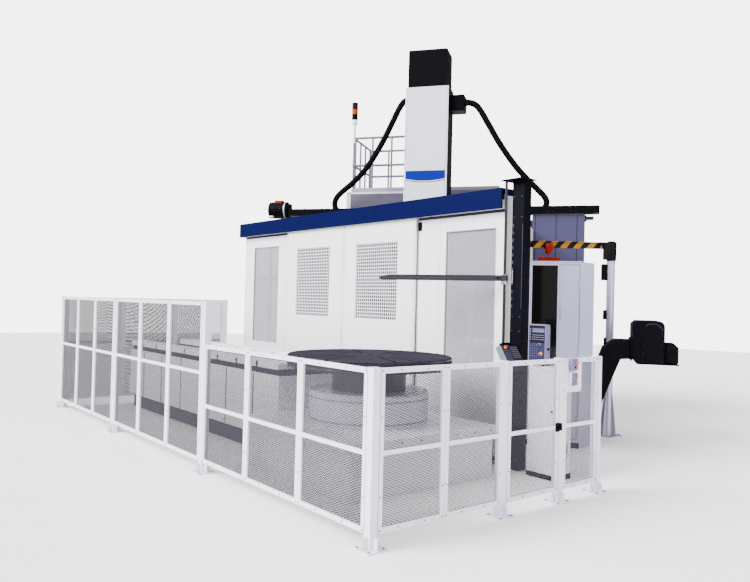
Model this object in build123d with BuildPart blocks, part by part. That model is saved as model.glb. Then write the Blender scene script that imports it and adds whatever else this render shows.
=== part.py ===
# Vertical boring mill with a pallet station, enclosure, tool cabinet, jib crane and guard fence.
# Millimetres. +X runs to the right along the enclosure's front wall, +Y away from the operator, +Z up.
# The origin is on the floor, under the turning axis of the front table.
import os
from math import cos, radians, sin, tan

from build123d import *

# Fits and thicknesses used in several places
RUN_GAP = 10            # between a moving leaf and what it passes
RUN_FIT = 0.3           # between a roller or bearing and its seat
SHEET = 3               # folded sheet metal
WALL = 60               # enclosure wall, with its folded stiffeners

# Front table and its station
TABLE_D = 2000
TABLE_T = 140
TABLE_TOP = 1395
TABLE_BORE_D = 100
TABLE_BORE_DEPTH = 60
SLOT_W = 24
SLOT_DEPTH = 36
SLOT_COUNT = 8
SLOT_INNER_R = 330
SLOT_PAIR = 150         # spacing of the paired slots on the cross axes
NECK_D = 900
DRUM_D = 1450
DRUM_TOP = 980
DRUM_BOTTOM = 600
STATION = 2160          # side of the station's square base
STATION_FLANGE = 90

# Pallet transfer bed, to the left of the front table
BED_LEFT = -6360
BED_Y = 600
BED_SKIRT = 230
BED_COVER_TOP = 1050
BED_RAIL_TOP = 1130
BED_PAD_TOP = 1212
BED_PADS = 9
BED_PAD_GAP = 70

# Enclosure front wall
FRONT_Y = 1500          # front face of the sliding doors
DOOR_T = 50
WALL_LEFT = -6030
WALL_RIGHT = 790
DOOR_LEFT = -4370
DOOR_MEET = -2625
DOOR_RIGHT = -875
DOOR_SEAM = 8
DOOR_BOTTOM = 160
DOOR_TOP = 3380
JAMB_LAP = 70
WALL_TOP = 3440
SILL_H = 120
POST_W = 120
SCREEN_W = 1010         # perforated window in each door
SCREEN_H = 1190
SCREEN_BOTTOM = 1763
SCREEN_DEPTH = 12       # set back from the door's face
SCREEN_COLUMNS = 5      # coarse openings; the fine holes are left to scene.py
SCREEN_ROWS = 6
SCREEN_BAR = 60
SCREEN_LEFT_X = -4030
SCREEN_RIGHT_X = -2280
GLASS_LEFT_X = -5670
GLASS_RIGHT_X = -300
GLASS_W = 910
GLASS_BOTTOM = 1220
GLASS_H = 1820
GLASS_T = 8

# Blue fascia with the door rail behind it
FASCIA_BOTTOM = 3270
FASCIA_TOP = 3530
FASCIA_OUT = 60         # how far it stands in front of the doors
FASCIA_OVER = 60        # overhang past the wall's left end
RAIL_T = 12
RAIL_H = 60
RAIL_TOP = 3455
ROLLER_D = 44
ROLLER_INSET = 260

# Machine frame, turned to the wall, with its origin under the boring axis
MACHINE_X = -2620
MACHINE_Y = 4040
MACHINE_TURN = 35
COLUMN_IN = 1420        # inner face of each column from the boring axis
COLUMN_OUT = 2360
COLUMN_FRONT = 300
REAR_FRONT = 1300
MACHINE_BACK = 2200
HOUSING_TOP = 3745
BASE_CLEAR = 80         # between the machine's bed and the enclosure's right wall
BASE_TOP = 900
INNER_TABLE_R = 1000
CROSSRAIL_FRONT = 360
CROSSRAIL_BACK = 850
CROSSRAIL_BOTTOM = 2300
CROSSRAIL_TOP = 3300
RAM_X = -505
RAM_W = 812
RAM_FRONT = -300
RAM_BACK = 200
COVER_BOTTOM = 3300
COVER_TOP = 6062
CAP_TOP = 6770
CAP_INSET = 38
CAP_ROUND = 70
SADDLE_W = 960
RAM_BAR = 320
RAM_BAR_BOTTOM = 1950
HEAD_H = 180
CABLE_BOX_W = 270
CABLE_BOX_Z = 5620
CABLE_BOX_H = 295
TRAY_LEFT = -3487
TRAY_RIGHT = 2611
TRAY_FRONT = 250
TRAY_W = 250
TRAY_H = 140
TRAY_WALL = 12
HOSE_D = 105
MOTOR_L = 375
MOTOR_D = 330

# Maintenance platform on top of the machine
HOOD_LEFT = -2330
HOOD_RIGHT = 820
HOOD_FRONT = 620
HOOD_TOP = 4260
DRIVE_HOOD_LEFT = -940
DRIVE_HOOD_BACK = 1500
DRIVE_HOOD_TOP = 4350
PLATFORM_RIGHT = -1010
PLATFORM_BACK = 2060
TOE_H = 105
HANDRAIL_Z = 5397
MIDRAIL_Z = 4828
HANDRAIL_D = 48
LAMP_D = 92
LAMP_BASE_Z = 5700
LAMP_TOP_Z = 6125

# Navy column, gauge rod and arm at the wall's right end
PILLAR_X = 920
PILLAR_W = 190
PILLAR_DEPTH = 140
PILLAR_TOP = 3600
PILLAR_PLATE = 12
ROD_X = 880
ROD_Y = 1430
ROD_D = 36
ROD_BOTTOM = 1560
ROD_TOP = 3600
ARM_Z = 2378
ARM_TURN = 208          # heading of the arm at rest, counter-clockwise from +X
ARM_LEN = 1700
ARM_TIP = 20            # height of the arm's blunt tip
ARM_H = 74
ARM_T = 24
COLLAR_D = 84
COLLAR_H = 40
LEVER_OUT = 55
LEVER_H = 150
LEVER_D = 14
COLLAR_FIT = 0.05       # running clearance on the rod, radial
SPIGOT_D = 58           # neck of the collar that the arm's hub turns on
SPIGOT_OVER = 8         # how far the neck stands above the hub

# Operator's desk and panel
PANEL_X = 1270
PANEL_W = 240
PANEL_DEPTH = 80
PANEL_FRONT = 1450
PANEL_BOTTOM = 1330
PANEL_TOP = 1812
PEDESTAL_W = 400
PEDESTAL_DEPTH = 320
DESK_FRONT = 1200
DESK_TOP_X = 1035       # upper edge of the key face, which slopes down to the right
DESK_TOP = 1555
DESK_LIP = 1290
DESK_LEAN = 0.635       # how far the key face runs to the right for each unit that it falls
DESK_THICK = 80
DESK_LIP_H = 40

# Tool cabinet, in the machine frame
CABINET_RIGHT = 2318
CABINET_FRONT = -2480
CABINET_BACK = -2020
CHAMFER_X = 172
CHAMFER_Y = 340
CABINET_TOP = 2690
CABINET_SKIN = 30
CABINET_FLOOR = 120
DOORWAY_LEFT = 1600
DOORWAY_SPLIT = 1990    # between the smoked panel and the hinged door
DOORWAY_RIGHT = 2290
DOORWAY_TOP = 2650

# Jib crane
JIB_X = 330
JIB_Y = 4640
JIB_D = 125
JIB_TUBE_TOP = 2785
JIB_TOP = 3080
JIB_PLATE = 320
JIB_PLATE_T = 16
JIB_GUSSET_H = 700
JIB_HOLES = 240
JIB_HOLE_D = 18
JIB_HEADING = 231       # heading of the beam at rest, counter-clockwise from +X
BEAM_LEN = 1300
BEAM_H = 104
BEAM_W = 70
BEAM_FLANGE = 10
BEAM_WEB = 12
TROLLEY_AT = 1005
HOOK_Z = 2748
HOOK_BAR_L = 356
HOOK_BAR_H = 72

# Chip conveyor, in the machine frame
CHIP_Y0 = -1950
CHIP_Y1 = -1450
CHIP_H = 280
CHIP_FLOOR = 30
CHIP_LOW_END = 2250
CHIP_NECK_X = 2830
CHIP_HEAD_X = 3050
CHIP_HEAD_END = 3500
CHIP_NECK_TOP = 1565
CHIP_NECK_UNDER = 1275
CHIP_THROAT_UNDER = 1290
CHIP_RISE_TOP = 1440
CHIP_HEAD_TOP = 1862
CHIP_HEAD_BOTTOM = 1215
CHIP_MOTOR_END = 3700
CHIP_MOTOR_TOP = 1540

# Guard fence
FENCE_FRONT = -1750     # outer face of the front run
FENCE_RIGHT = 2240      # outer face of the right run
FENCE_LEFT = -6740      # outer face of the left run
LOW_H = 1503
TALL_H = 2000
POST = 80
FOOT = 210
FOOT_T = 12
FOOT_RIB_H = 110
PANEL_GAP = 130         # floor to the panels' bottom rail
PANEL_FRAME = 45
PANEL_DEEP = 30
PANEL_JOINT = 4
MESH_T = 3
MESH_BAR = 12           # bars left between the openings of a mesh sheet
MESH_COLUMNS = 4
MESH_ROWS = 5
MIDRAIL_H = 40
TALL_MID_Z = 1160
LOW_MID_Z = 790
STEP_POST_X = -890      # right edge of the post where the fence steps down
TALL_POST_X = -3900
GATE_HINGE_Y = -65      # back edge of the post that carries the gate
GATE_POST_Y = 830       # back edge of the latch post
END_POST_Y = 1510
LEFT_RUN_END = 1510
GATE_CLEAR = 10
HINGE_PIN_D = 16
KNUCKLE = 60            # length of each hinge knuckle
LOW_HINGE_Z = 380
HIGH_HINGE_Z = 1200
SWITCH_Y = 880          # near edge of the switch box
SWITCH_W = 120
SWITCH_H = 295
SWITCH_D = 60
SWITCH_TOP = 1500
SWITCH_PLATE_T = 6

os.makedirs("parts", exist_ok=True)

machine = Plane(
    origin=(MACHINE_X, MACHINE_Y, 0),
    x_dir=(cos(radians(MACHINE_TURN)), sin(radians(MACHINE_TURN)), 0),
    z_dir=(0, 0, 1),
)


def save(part, name):
    """Label one finished piece and write it to its own file."""
    part.label = name
    export_step(part, f"parts/{name}.step")


def block(x, y, z, mode=Mode.ADD):
    """Add a block to the current part, given its low and high ends along each axis."""
    with Locations(((x[0] + x[1]) / 2, (y[0] + y[1]) / 2, (z[0] + z[1]) / 2)):
        Box(x[1] - x[0], y[1] - y[0], z[1] - z[0], mode=mode)


def rod(at, diameter, length, turn=(0, 0, 0), mode=Mode.ADD):
    """Add a round bar centred on a point, along Z unless it is turned."""
    with Locations(Location(at, turn)):
        Cylinder(diameter / 2, length, mode=mode)


def open_sheet(width, height, columns, rows, bar):
    """Sketch a sheet with an even grid of rectangular openings, a bar apart from each other and the edge."""
    cell_w, cell_h = (width - bar) / columns, (height - bar) / rows
    Rectangle(width, height)
    with GridLocations(cell_w, cell_h, columns, rows):
        Rectangle(cell_w - bar, cell_h - bar, mode=Mode.SUBTRACT)


# Front table: a faceplate with radial slots, carried on a neck that turns on the station's drum
table_bottom = TABLE_TOP - TABLE_T
with BuildPart(Plane.XY.offset(table_bottom)) as front_table:
    Cylinder(TABLE_D / 2, TABLE_T, align=(Align.CENTER, Align.CENTER, Align.MIN))
    chamfer(front_table.edges().filter_by(GeomType.CIRCLE).group_by(Axis.Z)[-1], 12)
    with Locations((0, 0, TABLE_T - TABLE_BORE_DEPTH)):
        Cylinder(TABLE_BORE_D / 2, TABLE_BORE_DEPTH, align=(Align.CENTER, Align.CENTER, Align.MIN),
                 mode=Mode.SUBTRACT)
    slot_len = TABLE_D / 2 - SLOT_INNER_R
    with BuildSketch(Plane.XY.offset(TABLE_TOP)) as slots:
        with PolarLocations(SLOT_INNER_R + slot_len / 2, SLOT_COUNT, start_angle=180 / SLOT_COUNT):
            Rectangle(slot_len + 4, SLOT_W)
        with PolarLocations(0, 4):
            for side in (-SLOT_PAIR / 2, SLOT_PAIR / 2):
                with Locations((TABLE_D / 4 + SLOT_PAIR, side)):
                    Rectangle(TABLE_D / 2 - 2 * SLOT_PAIR + 4, SLOT_W)
    extrude(amount=-SLOT_DEPTH, mode=Mode.SUBTRACT)
save(front_table.part, "front_table")

with BuildPart(Plane.XY.offset(DRUM_TOP + RUN_FIT)) as table_neck:
    Cylinder(NECK_D / 2, table_bottom - DRUM_TOP - RUN_FIT, align=(Align.CENTER, Align.CENTER, Align.MIN))
    with Locations((0, 0, table_bottom - DRUM_TOP - RUN_FIT)):
        Cylinder(NECK_D / 2 + 90, 60, align=(Align.CENTER, Align.CENTER, Align.MAX))
save(table_neck.part, "table_neck")

with BuildPart() as station_base:
    block((-STATION / 2, STATION / 2), (-STATION / 2, STATION / 2), (0, DRUM_BOTTOM - STATION_FLANGE))
    fillet(station_base.edges().filter_by(Axis.Z), 60)
    block((-STATION / 2 - 30, STATION / 2 + 30), (-STATION / 2 - 30, STATION / 2 + 30),
          (DRUM_BOTTOM - STATION_FLANGE, DRUM_BOTTOM))
save(station_base.part, "station_base")

with BuildPart(Plane.XY.offset(DRUM_BOTTOM)) as station_drum:
    Cylinder(DRUM_D / 2, DRUM_TOP - DRUM_BOTTOM, align=(Align.CENTER, Align.CENTER, Align.MIN))
    chamfer(station_drum.edges().filter_by(GeomType.CIRCLE).group_by(Axis.Z)[-1], 16)
save(station_drum.part, "station_drum")

# Transfer bed: a dark frame with a white sheet cover and guide pads along its top
bed_right = -STATION / 2 - 30
with BuildPart() as transfer_bed:
    block((BED_LEFT + 60, bed_right), (-BED_Y + 60, BED_Y - 60), (0, BED_SKIRT))
    block((BED_LEFT + 30, bed_right), (-BED_Y + 30, BED_Y - 30), (BED_COVER_TOP, BED_RAIL_TOP))
save(transfer_bed.part, "transfer_bed")

with BuildPart() as bed_covers:
    block((BED_LEFT, bed_right), (-BED_Y, BED_Y), (BED_SKIRT, BED_COVER_TOP))
    pad_pitch = (bed_right - BED_LEFT) / BED_PADS
    for index in range(BED_PADS):
        pad_x = BED_LEFT + index * pad_pitch
        for side in (-1, 1):
            inner, outer = side * (BED_Y - 260), side * BED_Y
            block((pad_x + BED_PAD_GAP / 2, pad_x + pad_pitch - BED_PAD_GAP / 2),
                  (min(inner, outer), max(inner, outer)), (BED_RAIL_TOP, BED_PAD_TOP))
save(bed_covers.part, "bed_covers")

# Enclosure front wall: a welded frame with the door rail, and a fixed panel at each side
panel_front = FRONT_Y + DOOR_T + RUN_GAP
panel_back = panel_front + WALL
door_mid_y = FRONT_Y + DOOR_T / 2
opening_left = DOOR_LEFT + JAMB_LAP
opening_right = DOOR_RIGHT - JAMB_LAP
with BuildPart() as wall_posts:
    for post_x in (WALL_LEFT, opening_left - POST_W, opening_right, WALL_RIGHT - POST_W):
        block((post_x, post_x + POST_W), (panel_back, panel_back + WALL), (SILL_H, WALL_TOP - POST_W))
save(wall_posts.part, "wall_posts")

with BuildPart() as wall_beams:
    block((WALL_LEFT, WALL_RIGHT), (panel_back, panel_back + WALL), (WALL_TOP - POST_W, WALL_TOP))
    block((WALL_LEFT, WALL_RIGHT), (panel_back, panel_back + WALL), (0, SILL_H))
save(wall_beams.part, "wall_beams")

with BuildPart() as door_rail:
    block((WALL_LEFT + 20, WALL_RIGHT - 20), (door_mid_y - RAIL_T / 2, door_mid_y + RAIL_T / 2),
          (RAIL_TOP - RAIL_H, RAIL_TOP))
    for index in range(6):
        lug_x = WALL_LEFT + 80 + index * (WALL_RIGHT - WALL_LEFT - 160) / 5
        block((lug_x - 30, lug_x + 30), (door_mid_y + RAIL_T / 2, panel_front),
              (RAIL_TOP - RAIL_H, RAIL_TOP - 34))
save(door_rail.part, "door_rail")

with BuildPart() as wall_side_panels:
    side_spans = ((WALL_LEFT, opening_left, GLASS_LEFT_X), (opening_right, WALL_RIGHT, GLASS_RIGHT_X))
    for x0, x1, glass_x in side_spans:
        block((x0, x1), (panel_front, panel_back), (40, WALL_TOP))
        block((glass_x, glass_x + GLASS_W), (panel_front, panel_back), (GLASS_BOTTOM, GLASS_BOTTOM + GLASS_H),
              mode=Mode.SUBTRACT)
save(wall_side_panels.part, "wall_side_panels")

with BuildPart() as wall_windows:
    for glass_x in (GLASS_LEFT_X, GLASS_RIGHT_X):
        block((glass_x, glass_x + GLASS_W), (panel_front + 20, panel_front + 20 + GLASS_T),
              (GLASS_BOTTOM, GLASS_BOTTOM + GLASS_H))
save(wall_windows.part, "wall_windows")

with BuildPart() as fascia:
    front = FRONT_Y - FASCIA_OUT
    block((WALL_LEFT - FASCIA_OVER, WALL_RIGHT), (front, front + 25), (FASCIA_BOTTOM, FASCIA_TOP))
    block((WALL_LEFT - FASCIA_OVER, WALL_RIGHT), (front + 25, panel_back + WALL),
          (FASCIA_TOP - 25, FASCIA_TOP))
    block((WALL_LEFT - FASCIA_OVER, WALL_LEFT - FASCIA_OVER + 25), (front + 25, panel_back + WALL),
          (FASCIA_BOTTOM, FASCIA_TOP - 25))
    block((WALL_LEFT, WALL_RIGHT), (panel_front, panel_back + WALL), (WALL_TOP, FASCIA_TOP - 25))
save(fascia.part, "fascia")


def sliding_door(x0, x1, screen_x, name):
    """A door leaf that hangs from the rail on two rollers, with an opening for its perforated screen."""
    with BuildPart() as leaf:
        block((x0, x1), (FRONT_Y, FRONT_Y + DOOR_T), (DOOR_BOTTOM, DOOR_TOP))
        fillet(leaf.edges().filter_by(Axis.Z).group_by(Axis.Y)[0], 6)
        block((screen_x, screen_x + SCREEN_W), (FRONT_Y, FRONT_Y + DOOR_T),
              (SCREEN_BOTTOM, SCREEN_BOTTOM + SCREEN_H), mode=Mode.SUBTRACT)
        roller_z = RAIL_TOP + ROLLER_D / 2 + RUN_FIT
        strap = (FRONT_Y + 2, door_mid_y - RAIL_T / 2 - 4)
        for hanger_x in (x0 + ROLLER_INSET, x1 - ROLLER_INSET):
            block((hanger_x - 45, hanger_x + 45), strap, (DOOR_TOP, RAIL_TOP + ROLLER_D / 2))
            rod((hanger_x, (strap[1] + door_mid_y + RAIL_T / 2) / 2, roller_z), ROLLER_D,
                door_mid_y + RAIL_T / 2 - strap[1], turn=(90, 0, 0))
    save(leaf.part, name)
    screen_middle = (screen_x + SCREEN_W / 2, FRONT_Y + SCREEN_DEPTH, SCREEN_BOTTOM + SCREEN_H / 2)
    with BuildPart() as screen:
        with BuildSketch(Plane(origin=screen_middle, x_dir=(1, 0, 0), z_dir=(0, 1, 0))):
            open_sheet(SCREEN_W, SCREEN_H, SCREEN_COLUMNS, SCREEN_ROWS, SCREEN_BAR)
        extrude(amount=SHEET)
    save(screen.part, name + "_screen")


sliding_door(DOOR_LEFT, DOOR_MEET - DOOR_SEAM / 2, SCREEN_LEFT_X, "door_left")
sliding_door(DOOR_MEET + DOOR_SEAM / 2, DOOR_RIGHT, SCREEN_RIGHT_X, "door_right")

# Enclosure side walls: the left one runs straight back, the right one is square to the machine
machine_cos = cos(radians(MACHINE_TURN))
machine_sin = sin(radians(MACHINE_TURN))
left_back = MACHINE_Y - COLUMN_OUT * machine_sin + MACHINE_BACK * machine_cos
left_meet = MACHINE_X - COLUMN_OUT * machine_cos - MACHINE_BACK * machine_sin
with BuildPart() as enclosure_left:
    block((WALL_LEFT, WALL_LEFT + WALL), (panel_back + WALL, left_back), (40, WALL_TOP))
    block((WALL_LEFT + WALL, left_meet), (left_back - WALL, left_back), (40, WALL_TOP))
save(enclosure_left.part, "enclosure_left")

corner_dx = WALL_RIGHT - MACHINE_X
corner_dy = panel_back + WALL - MACHINE_Y
wall_line = corner_dx * machine_cos + corner_dy * machine_sin
wall_start = -corner_dx * machine_sin + corner_dy * machine_cos
with BuildPart(machine) as enclosure_right:
    with BuildSketch(machine.offset(40)):
        with BuildLine():
            Polyline((wall_line - WALL, wall_start + WALL * machine_sin / machine_cos),
                     (wall_line, wall_start), (wall_line, COLUMN_FRONT),
                     (wall_line - WALL, COLUMN_FRONT), close=True)
        make_face()
    extrude(amount=WALL_TOP - 40)
save(enclosure_right.part, "enclosure_right")

# Machine: bed, inner table, two columns, rear bridge, crossrail, saddle and ram
base_half = wall_line - WALL - BASE_CLEAR
with BuildPart(machine) as machine_bed:
    block((-base_half, base_half), (-base_half, REAR_FRONT), (0, BASE_TOP))
    chamfer(machine_bed.edges().filter_by(Axis.Z), 260)
    with Locations((0, 0, BASE_TOP)):
        Cylinder(DRUM_D / 2, table_bottom - BASE_TOP, align=(Align.CENTER, Align.CENTER, Align.MIN))
save(machine_bed.part, "machine_bed")

with BuildPart(machine.offset(table_bottom)) as inner_table:
    Cylinder(INNER_TABLE_R, TABLE_T, align=(Align.CENTER, Align.CENTER, Align.MIN))
    with BuildSketch(machine.offset(TABLE_TOP)):
        with PolarLocations(SLOT_INNER_R + slot_len / 2, SLOT_COUNT):
            Rectangle(slot_len + 4, SLOT_W)
    extrude(amount=-SLOT_DEPTH, mode=Mode.SUBTRACT)
save(inner_table.part, "inner_table")

for side, name in ((-1, "column_left"), (1, "column_right")):
    with BuildPart(machine) as column:
        block((min(side * COLUMN_IN, side * COLUMN_OUT), max(side * COLUMN_IN, side * COLUMN_OUT)),
              (COLUMN_FRONT, MACHINE_BACK), (0, HOUSING_TOP))
    save(column.part, name)

with BuildPart(machine) as rear_bridge:
    block((-COLUMN_IN, COLUMN_IN), (REAR_FRONT, MACHINE_BACK), (0, HOUSING_TOP))
save(rear_bridge.part, "rear_bridge")

with BuildPart(machine) as crossrail:
    block((-COLUMN_IN, COLUMN_IN), (CROSSRAIL_FRONT, CROSSRAIL_BACK), (CROSSRAIL_BOTTOM, CROSSRAIL_TOP))
    for way_z in (CROSSRAIL_BOTTOM, CROSSRAIL_TOP - 180):
        block((-COLUMN_IN, COLUMN_IN), (CROSSRAIL_FRONT - 50, CROSSRAIL_FRONT), (way_z, way_z + 180))
save(crossrail.part, "crossrail")

saddle_back = CROSSRAIL_FRONT - 50
with BuildPart(machine) as saddle:
    block((RAM_X - SADDLE_W / 2, RAM_X + SADDLE_W / 2), (RAM_BACK, saddle_back),
          (CROSSRAIL_BOTTOM, CROSSRAIL_TOP))
    block((RAM_X - RAM_W / 2 + 60, RAM_X + RAM_W / 2 - 60), (RAM_FRONT + 20, RAM_BACK),
          (CROSSRAIL_BOTTOM - 60, COVER_BOTTOM))
save(saddle.part, "saddle")

with BuildPart(machine) as ram_bar:
    ram_mid = (RAM_FRONT + RAM_BACK) / 2
    block((RAM_X - RAM_BAR / 2, RAM_X + RAM_BAR / 2), (ram_mid - RAM_BAR / 2, ram_mid + RAM_BAR / 2),
          (RAM_BAR_BOTTOM, CROSSRAIL_BOTTOM - 60))
    with Locations((RAM_X, ram_mid, RAM_BAR_BOTTOM)):
        Cylinder(RAM_BAR * 0.62, HEAD_H, align=(Align.CENTER, Align.CENTER, Align.MAX))
save(ram_bar.part, "ram_bar")

with BuildPart(machine) as ram_cover:
    block((RAM_X - RAM_W / 2, RAM_X + RAM_W / 2), (RAM_FRONT, RAM_BACK), (COVER_BOTTOM, COVER_TOP))
    fillet(ram_cover.edges().filter_by(Axis.Z), 12)
save(ram_cover.part, "ram_cover")

with BuildPart(machine) as ram_cap:
    block((RAM_X - RAM_W / 2 + CAP_INSET, RAM_X + RAM_W / 2 - CAP_INSET),
          (RAM_FRONT + CAP_INSET / 2, RAM_BACK), (COVER_TOP, CAP_TOP))
    fillet(ram_cap.edges().group_by(Axis.Z)[-1], CAP_ROUND / 2)
save(ram_cap.part, "ram_cap")

with BuildPart(machine) as cable_box:
    box_x = RAM_X + RAM_W / 2
    block((box_x, box_x + CABLE_BOX_W), (RAM_FRONT + 120, RAM_BACK - 60),
          (CABLE_BOX_Z, CABLE_BOX_Z + CABLE_BOX_H))
    chamfer(cable_box.edges(), 12)
save(cable_box.part, "cable_box")

# Cable tray across the machine's top, with the drive motor at its left end
with BuildPart(machine) as cable_tray:
    tray_back = TRAY_FRONT + TRAY_W
    block((TRAY_LEFT, TRAY_RIGHT), (TRAY_FRONT, tray_back), (HOUSING_TOP, HOUSING_TOP + TRAY_H))
    block((TRAY_LEFT + TRAY_WALL, TRAY_RIGHT - TRAY_WALL), (TRAY_FRONT + TRAY_WALL, tray_back - TRAY_WALL),
          (HOUSING_TOP + TRAY_WALL, HOUSING_TOP + TRAY_H), mode=Mode.SUBTRACT)
save(cable_tray.part, "cable_tray")

with BuildPart(machine) as tray_motor:
    motor_mid = (TRAY_LEFT - 30 - MOTOR_L / 2, TRAY_FRONT + TRAY_W / 2, HOUSING_TOP + 130)
    with Locations(Location(motor_mid, (0, 90, 0))):
        Cylinder(MOTOR_D / 2, MOTOR_L)
    block((TRAY_LEFT - 30, TRAY_LEFT), (TRAY_FRONT - 30, TRAY_FRONT + TRAY_W + 30),
          (HOUSING_TOP - 40, HOUSING_TOP + 270))
save(tray_motor.part, "tray_motor")

# Supply hoses from the ram's head down into the cable tray, as points in the machine frame
HOSE_RIGHT_ROUTE = [
    (171, -50, 5790), (300, -50, 5790), (430, -45, 5690), (590, -20, 5410), (830, 60, 4990),
    (1120, 180, 4590), (1370, 280, 4330), (1560, 345, 4150), (1665, 375, 4030), (1672, 375, 3905),
    (1575, 375, 3812), (1420, 375, 3811),
]
HOSE_LEFT_ROUTE = [
    (-911, 80, 5940), (-1020, 80, 5940), (-1130, 85, 5790), (-1270, 100, 5500), (-1500, 150, 5080),
    (-1800, 210, 4650), (-2080, 270, 4400), (-2310, 330, 4250), (-2450, 365, 4140), (-2510, 375, 4010),
    (-2475, 375, 3880), (-2370, 375, 3812), (-2200, 375, 3811),
]


def hose(route, name):
    """A hose swept along straight runs joined by arcs as large as the runs allow."""
    corners = [Vector(*machine.from_local_coords(Vector(*point))) for point in route]
    radii = []
    for before, corner, after in zip(corners, corners[1:], corners[2:]):
        turn = radians((corner - before).get_angle(after - corner))
        radii.append(0.45 * min((corner - before).length, (after - corner).length) / tan(turn / 2))
    print(name, "bend radii", [round(radius) for radius in radii])
    with BuildPart() as tube:
        with BuildLine():
            path = FilletPolyline(*corners, radius=radii)
        with BuildSketch(Plane(origin=corners[0], z_dir=corners[1] - corners[0])):
            Circle(HOSE_D / 2)
        sweep(path=path)
    print(name, "length", round(path.length))
    save(tube.part, name)


hose(HOSE_RIGHT_ROUTE, "hose_right")
hose(HOSE_LEFT_ROUTE, "hose_left")

# Hood over the rear of the machine, with the maintenance platform, its railing and the signal lamp
with BuildPart(machine) as top_hood:
    block((HOOD_LEFT, HOOD_RIGHT), (HOOD_FRONT, MACHINE_BACK), (HOUSING_TOP, HOOD_TOP))
    block((DRIVE_HOOD_LEFT, HOOD_RIGHT), (HOOD_FRONT, DRIVE_HOOD_BACK), (HOOD_TOP, DRIVE_HOOD_TOP))
    chamfer(top_hood.edges().group_by(Axis.Z)[-1], DRIVE_HOOD_TOP - HOOD_TOP - 10)
save(top_hood.part, "top_hood")

with BuildPart(machine) as platform:
    block((HOOD_LEFT + 60, PLATFORM_RIGHT), (HOOD_FRONT + 100, PLATFORM_BACK), (HOOD_TOP, HOOD_TOP + 12))
    for y0 in (HOOD_FRONT + 100, PLATFORM_BACK - 6):
        block((HOOD_LEFT + 60, PLATFORM_RIGHT), (y0, y0 + 6), (HOOD_TOP + 12, HOOD_TOP + TOE_H))
    block((HOOD_LEFT + 60, HOOD_LEFT + 66), (HOOD_FRONT + 106, PLATFORM_BACK - 6),
          (HOOD_TOP + 12, HOOD_TOP + TOE_H))
save(platform.part, "platform")

rail_front = HOOD_FRONT + 100 + 6 + HANDRAIL_D / 2
rail_back = PLATFORM_BACK - 6 - HANDRAIL_D / 2
rail_left = HOOD_LEFT + 66 + HANDRAIL_D / 2
rail_right = PLATFORM_RIGHT - HANDRAIL_D / 2
rail_floor = HOOD_TOP + 12
side_gap = HANDRAIL_D * 1.2


def railing_side(start, end, posts):
    """One flat side of the railing: upright posts joined by a handrail and a knee rail."""
    along_x = start[1] == end[1]
    length = (end[0] - start[0]) if along_x else (end[1] - start[1])
    middle = ((start[0] + end[0]) / 2, (start[1] + end[1]) / 2)
    post_len = HANDRAIL_Z - rail_floor
    for index in range(posts):
        share = index / (posts - 1)
        post_at = (start[0] + share * (end[0] - start[0]), start[1] + share * (end[1] - start[1]))
        rod((*post_at, rail_floor + post_len / 2), HANDRAIL_D - 8, post_len)
    for rail_z in (HANDRAIL_Z, MIDRAIL_Z):
        rod((*middle, rail_z), HANDRAIL_D, length + HANDRAIL_D, turn=(0, 90, 0) if along_x else (90, 0, 0))


with BuildPart(machine) as platform_railing:
    railing_side((rail_left, rail_front), (rail_right, rail_front), 4)
    railing_side((rail_left, rail_back), (rail_right, rail_back), 4)
    railing_side((rail_left, rail_front + 2 * side_gap), (rail_left, rail_back - 2 * side_gap), 4)
save(platform_railing.part, "platform_railing")

with BuildPart(machine) as signal_lamp:
    stem_bottom = HANDRAIL_Z + HANDRAIL_D / 2
    with BuildSketch(machine.offset(stem_bottom)):
        with Locations((rail_left, rail_front)):
            Circle(24)
    extrude(amount=LAMP_BASE_Z - stem_bottom)
    with BuildSketch(machine.offset(LAMP_BASE_Z)):
        with Locations((rail_left, rail_front)):
            Circle(LAMP_D / 2)
    extrude(amount=LAMP_TOP_Z - LAMP_BASE_Z)
save(signal_lamp.part, "signal_lamp")

# Navy column with the brackets of the gauge rod
pillar_mid_x = PILLAR_X + PILLAR_W / 2
with BuildPart() as pillar:
    block((PILLAR_X, PILLAR_X + PILLAR_W), (FRONT_Y, FRONT_Y + PILLAR_DEPTH), (0, PILLAR_TOP))
    fillet(pillar.edges().filter_by(Axis.Z), 8)
    block((PILLAR_X - 90, PILLAR_X + PILLAR_W + 60), (ROD_Y - 50, FRONT_Y + PILLAR_DEPTH + 20),
          (PILLAR_TOP, PILLAR_TOP + PILLAR_PLATE))
    block((PILLAR_X - 70, PILLAR_X + 30), (ROD_Y - 40, FRONT_Y), (ROD_BOTTOM - 40, ROD_BOTTOM))
save(pillar.part, "pillar")

with BuildPart() as gauge_rod:
    rod((ROD_X, ROD_Y, (ROD_BOTTOM + ROD_TOP) / 2), ROD_D, ROD_TOP - ROD_BOTTOM)
save(gauge_rod.part, "gauge_rod")

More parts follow.
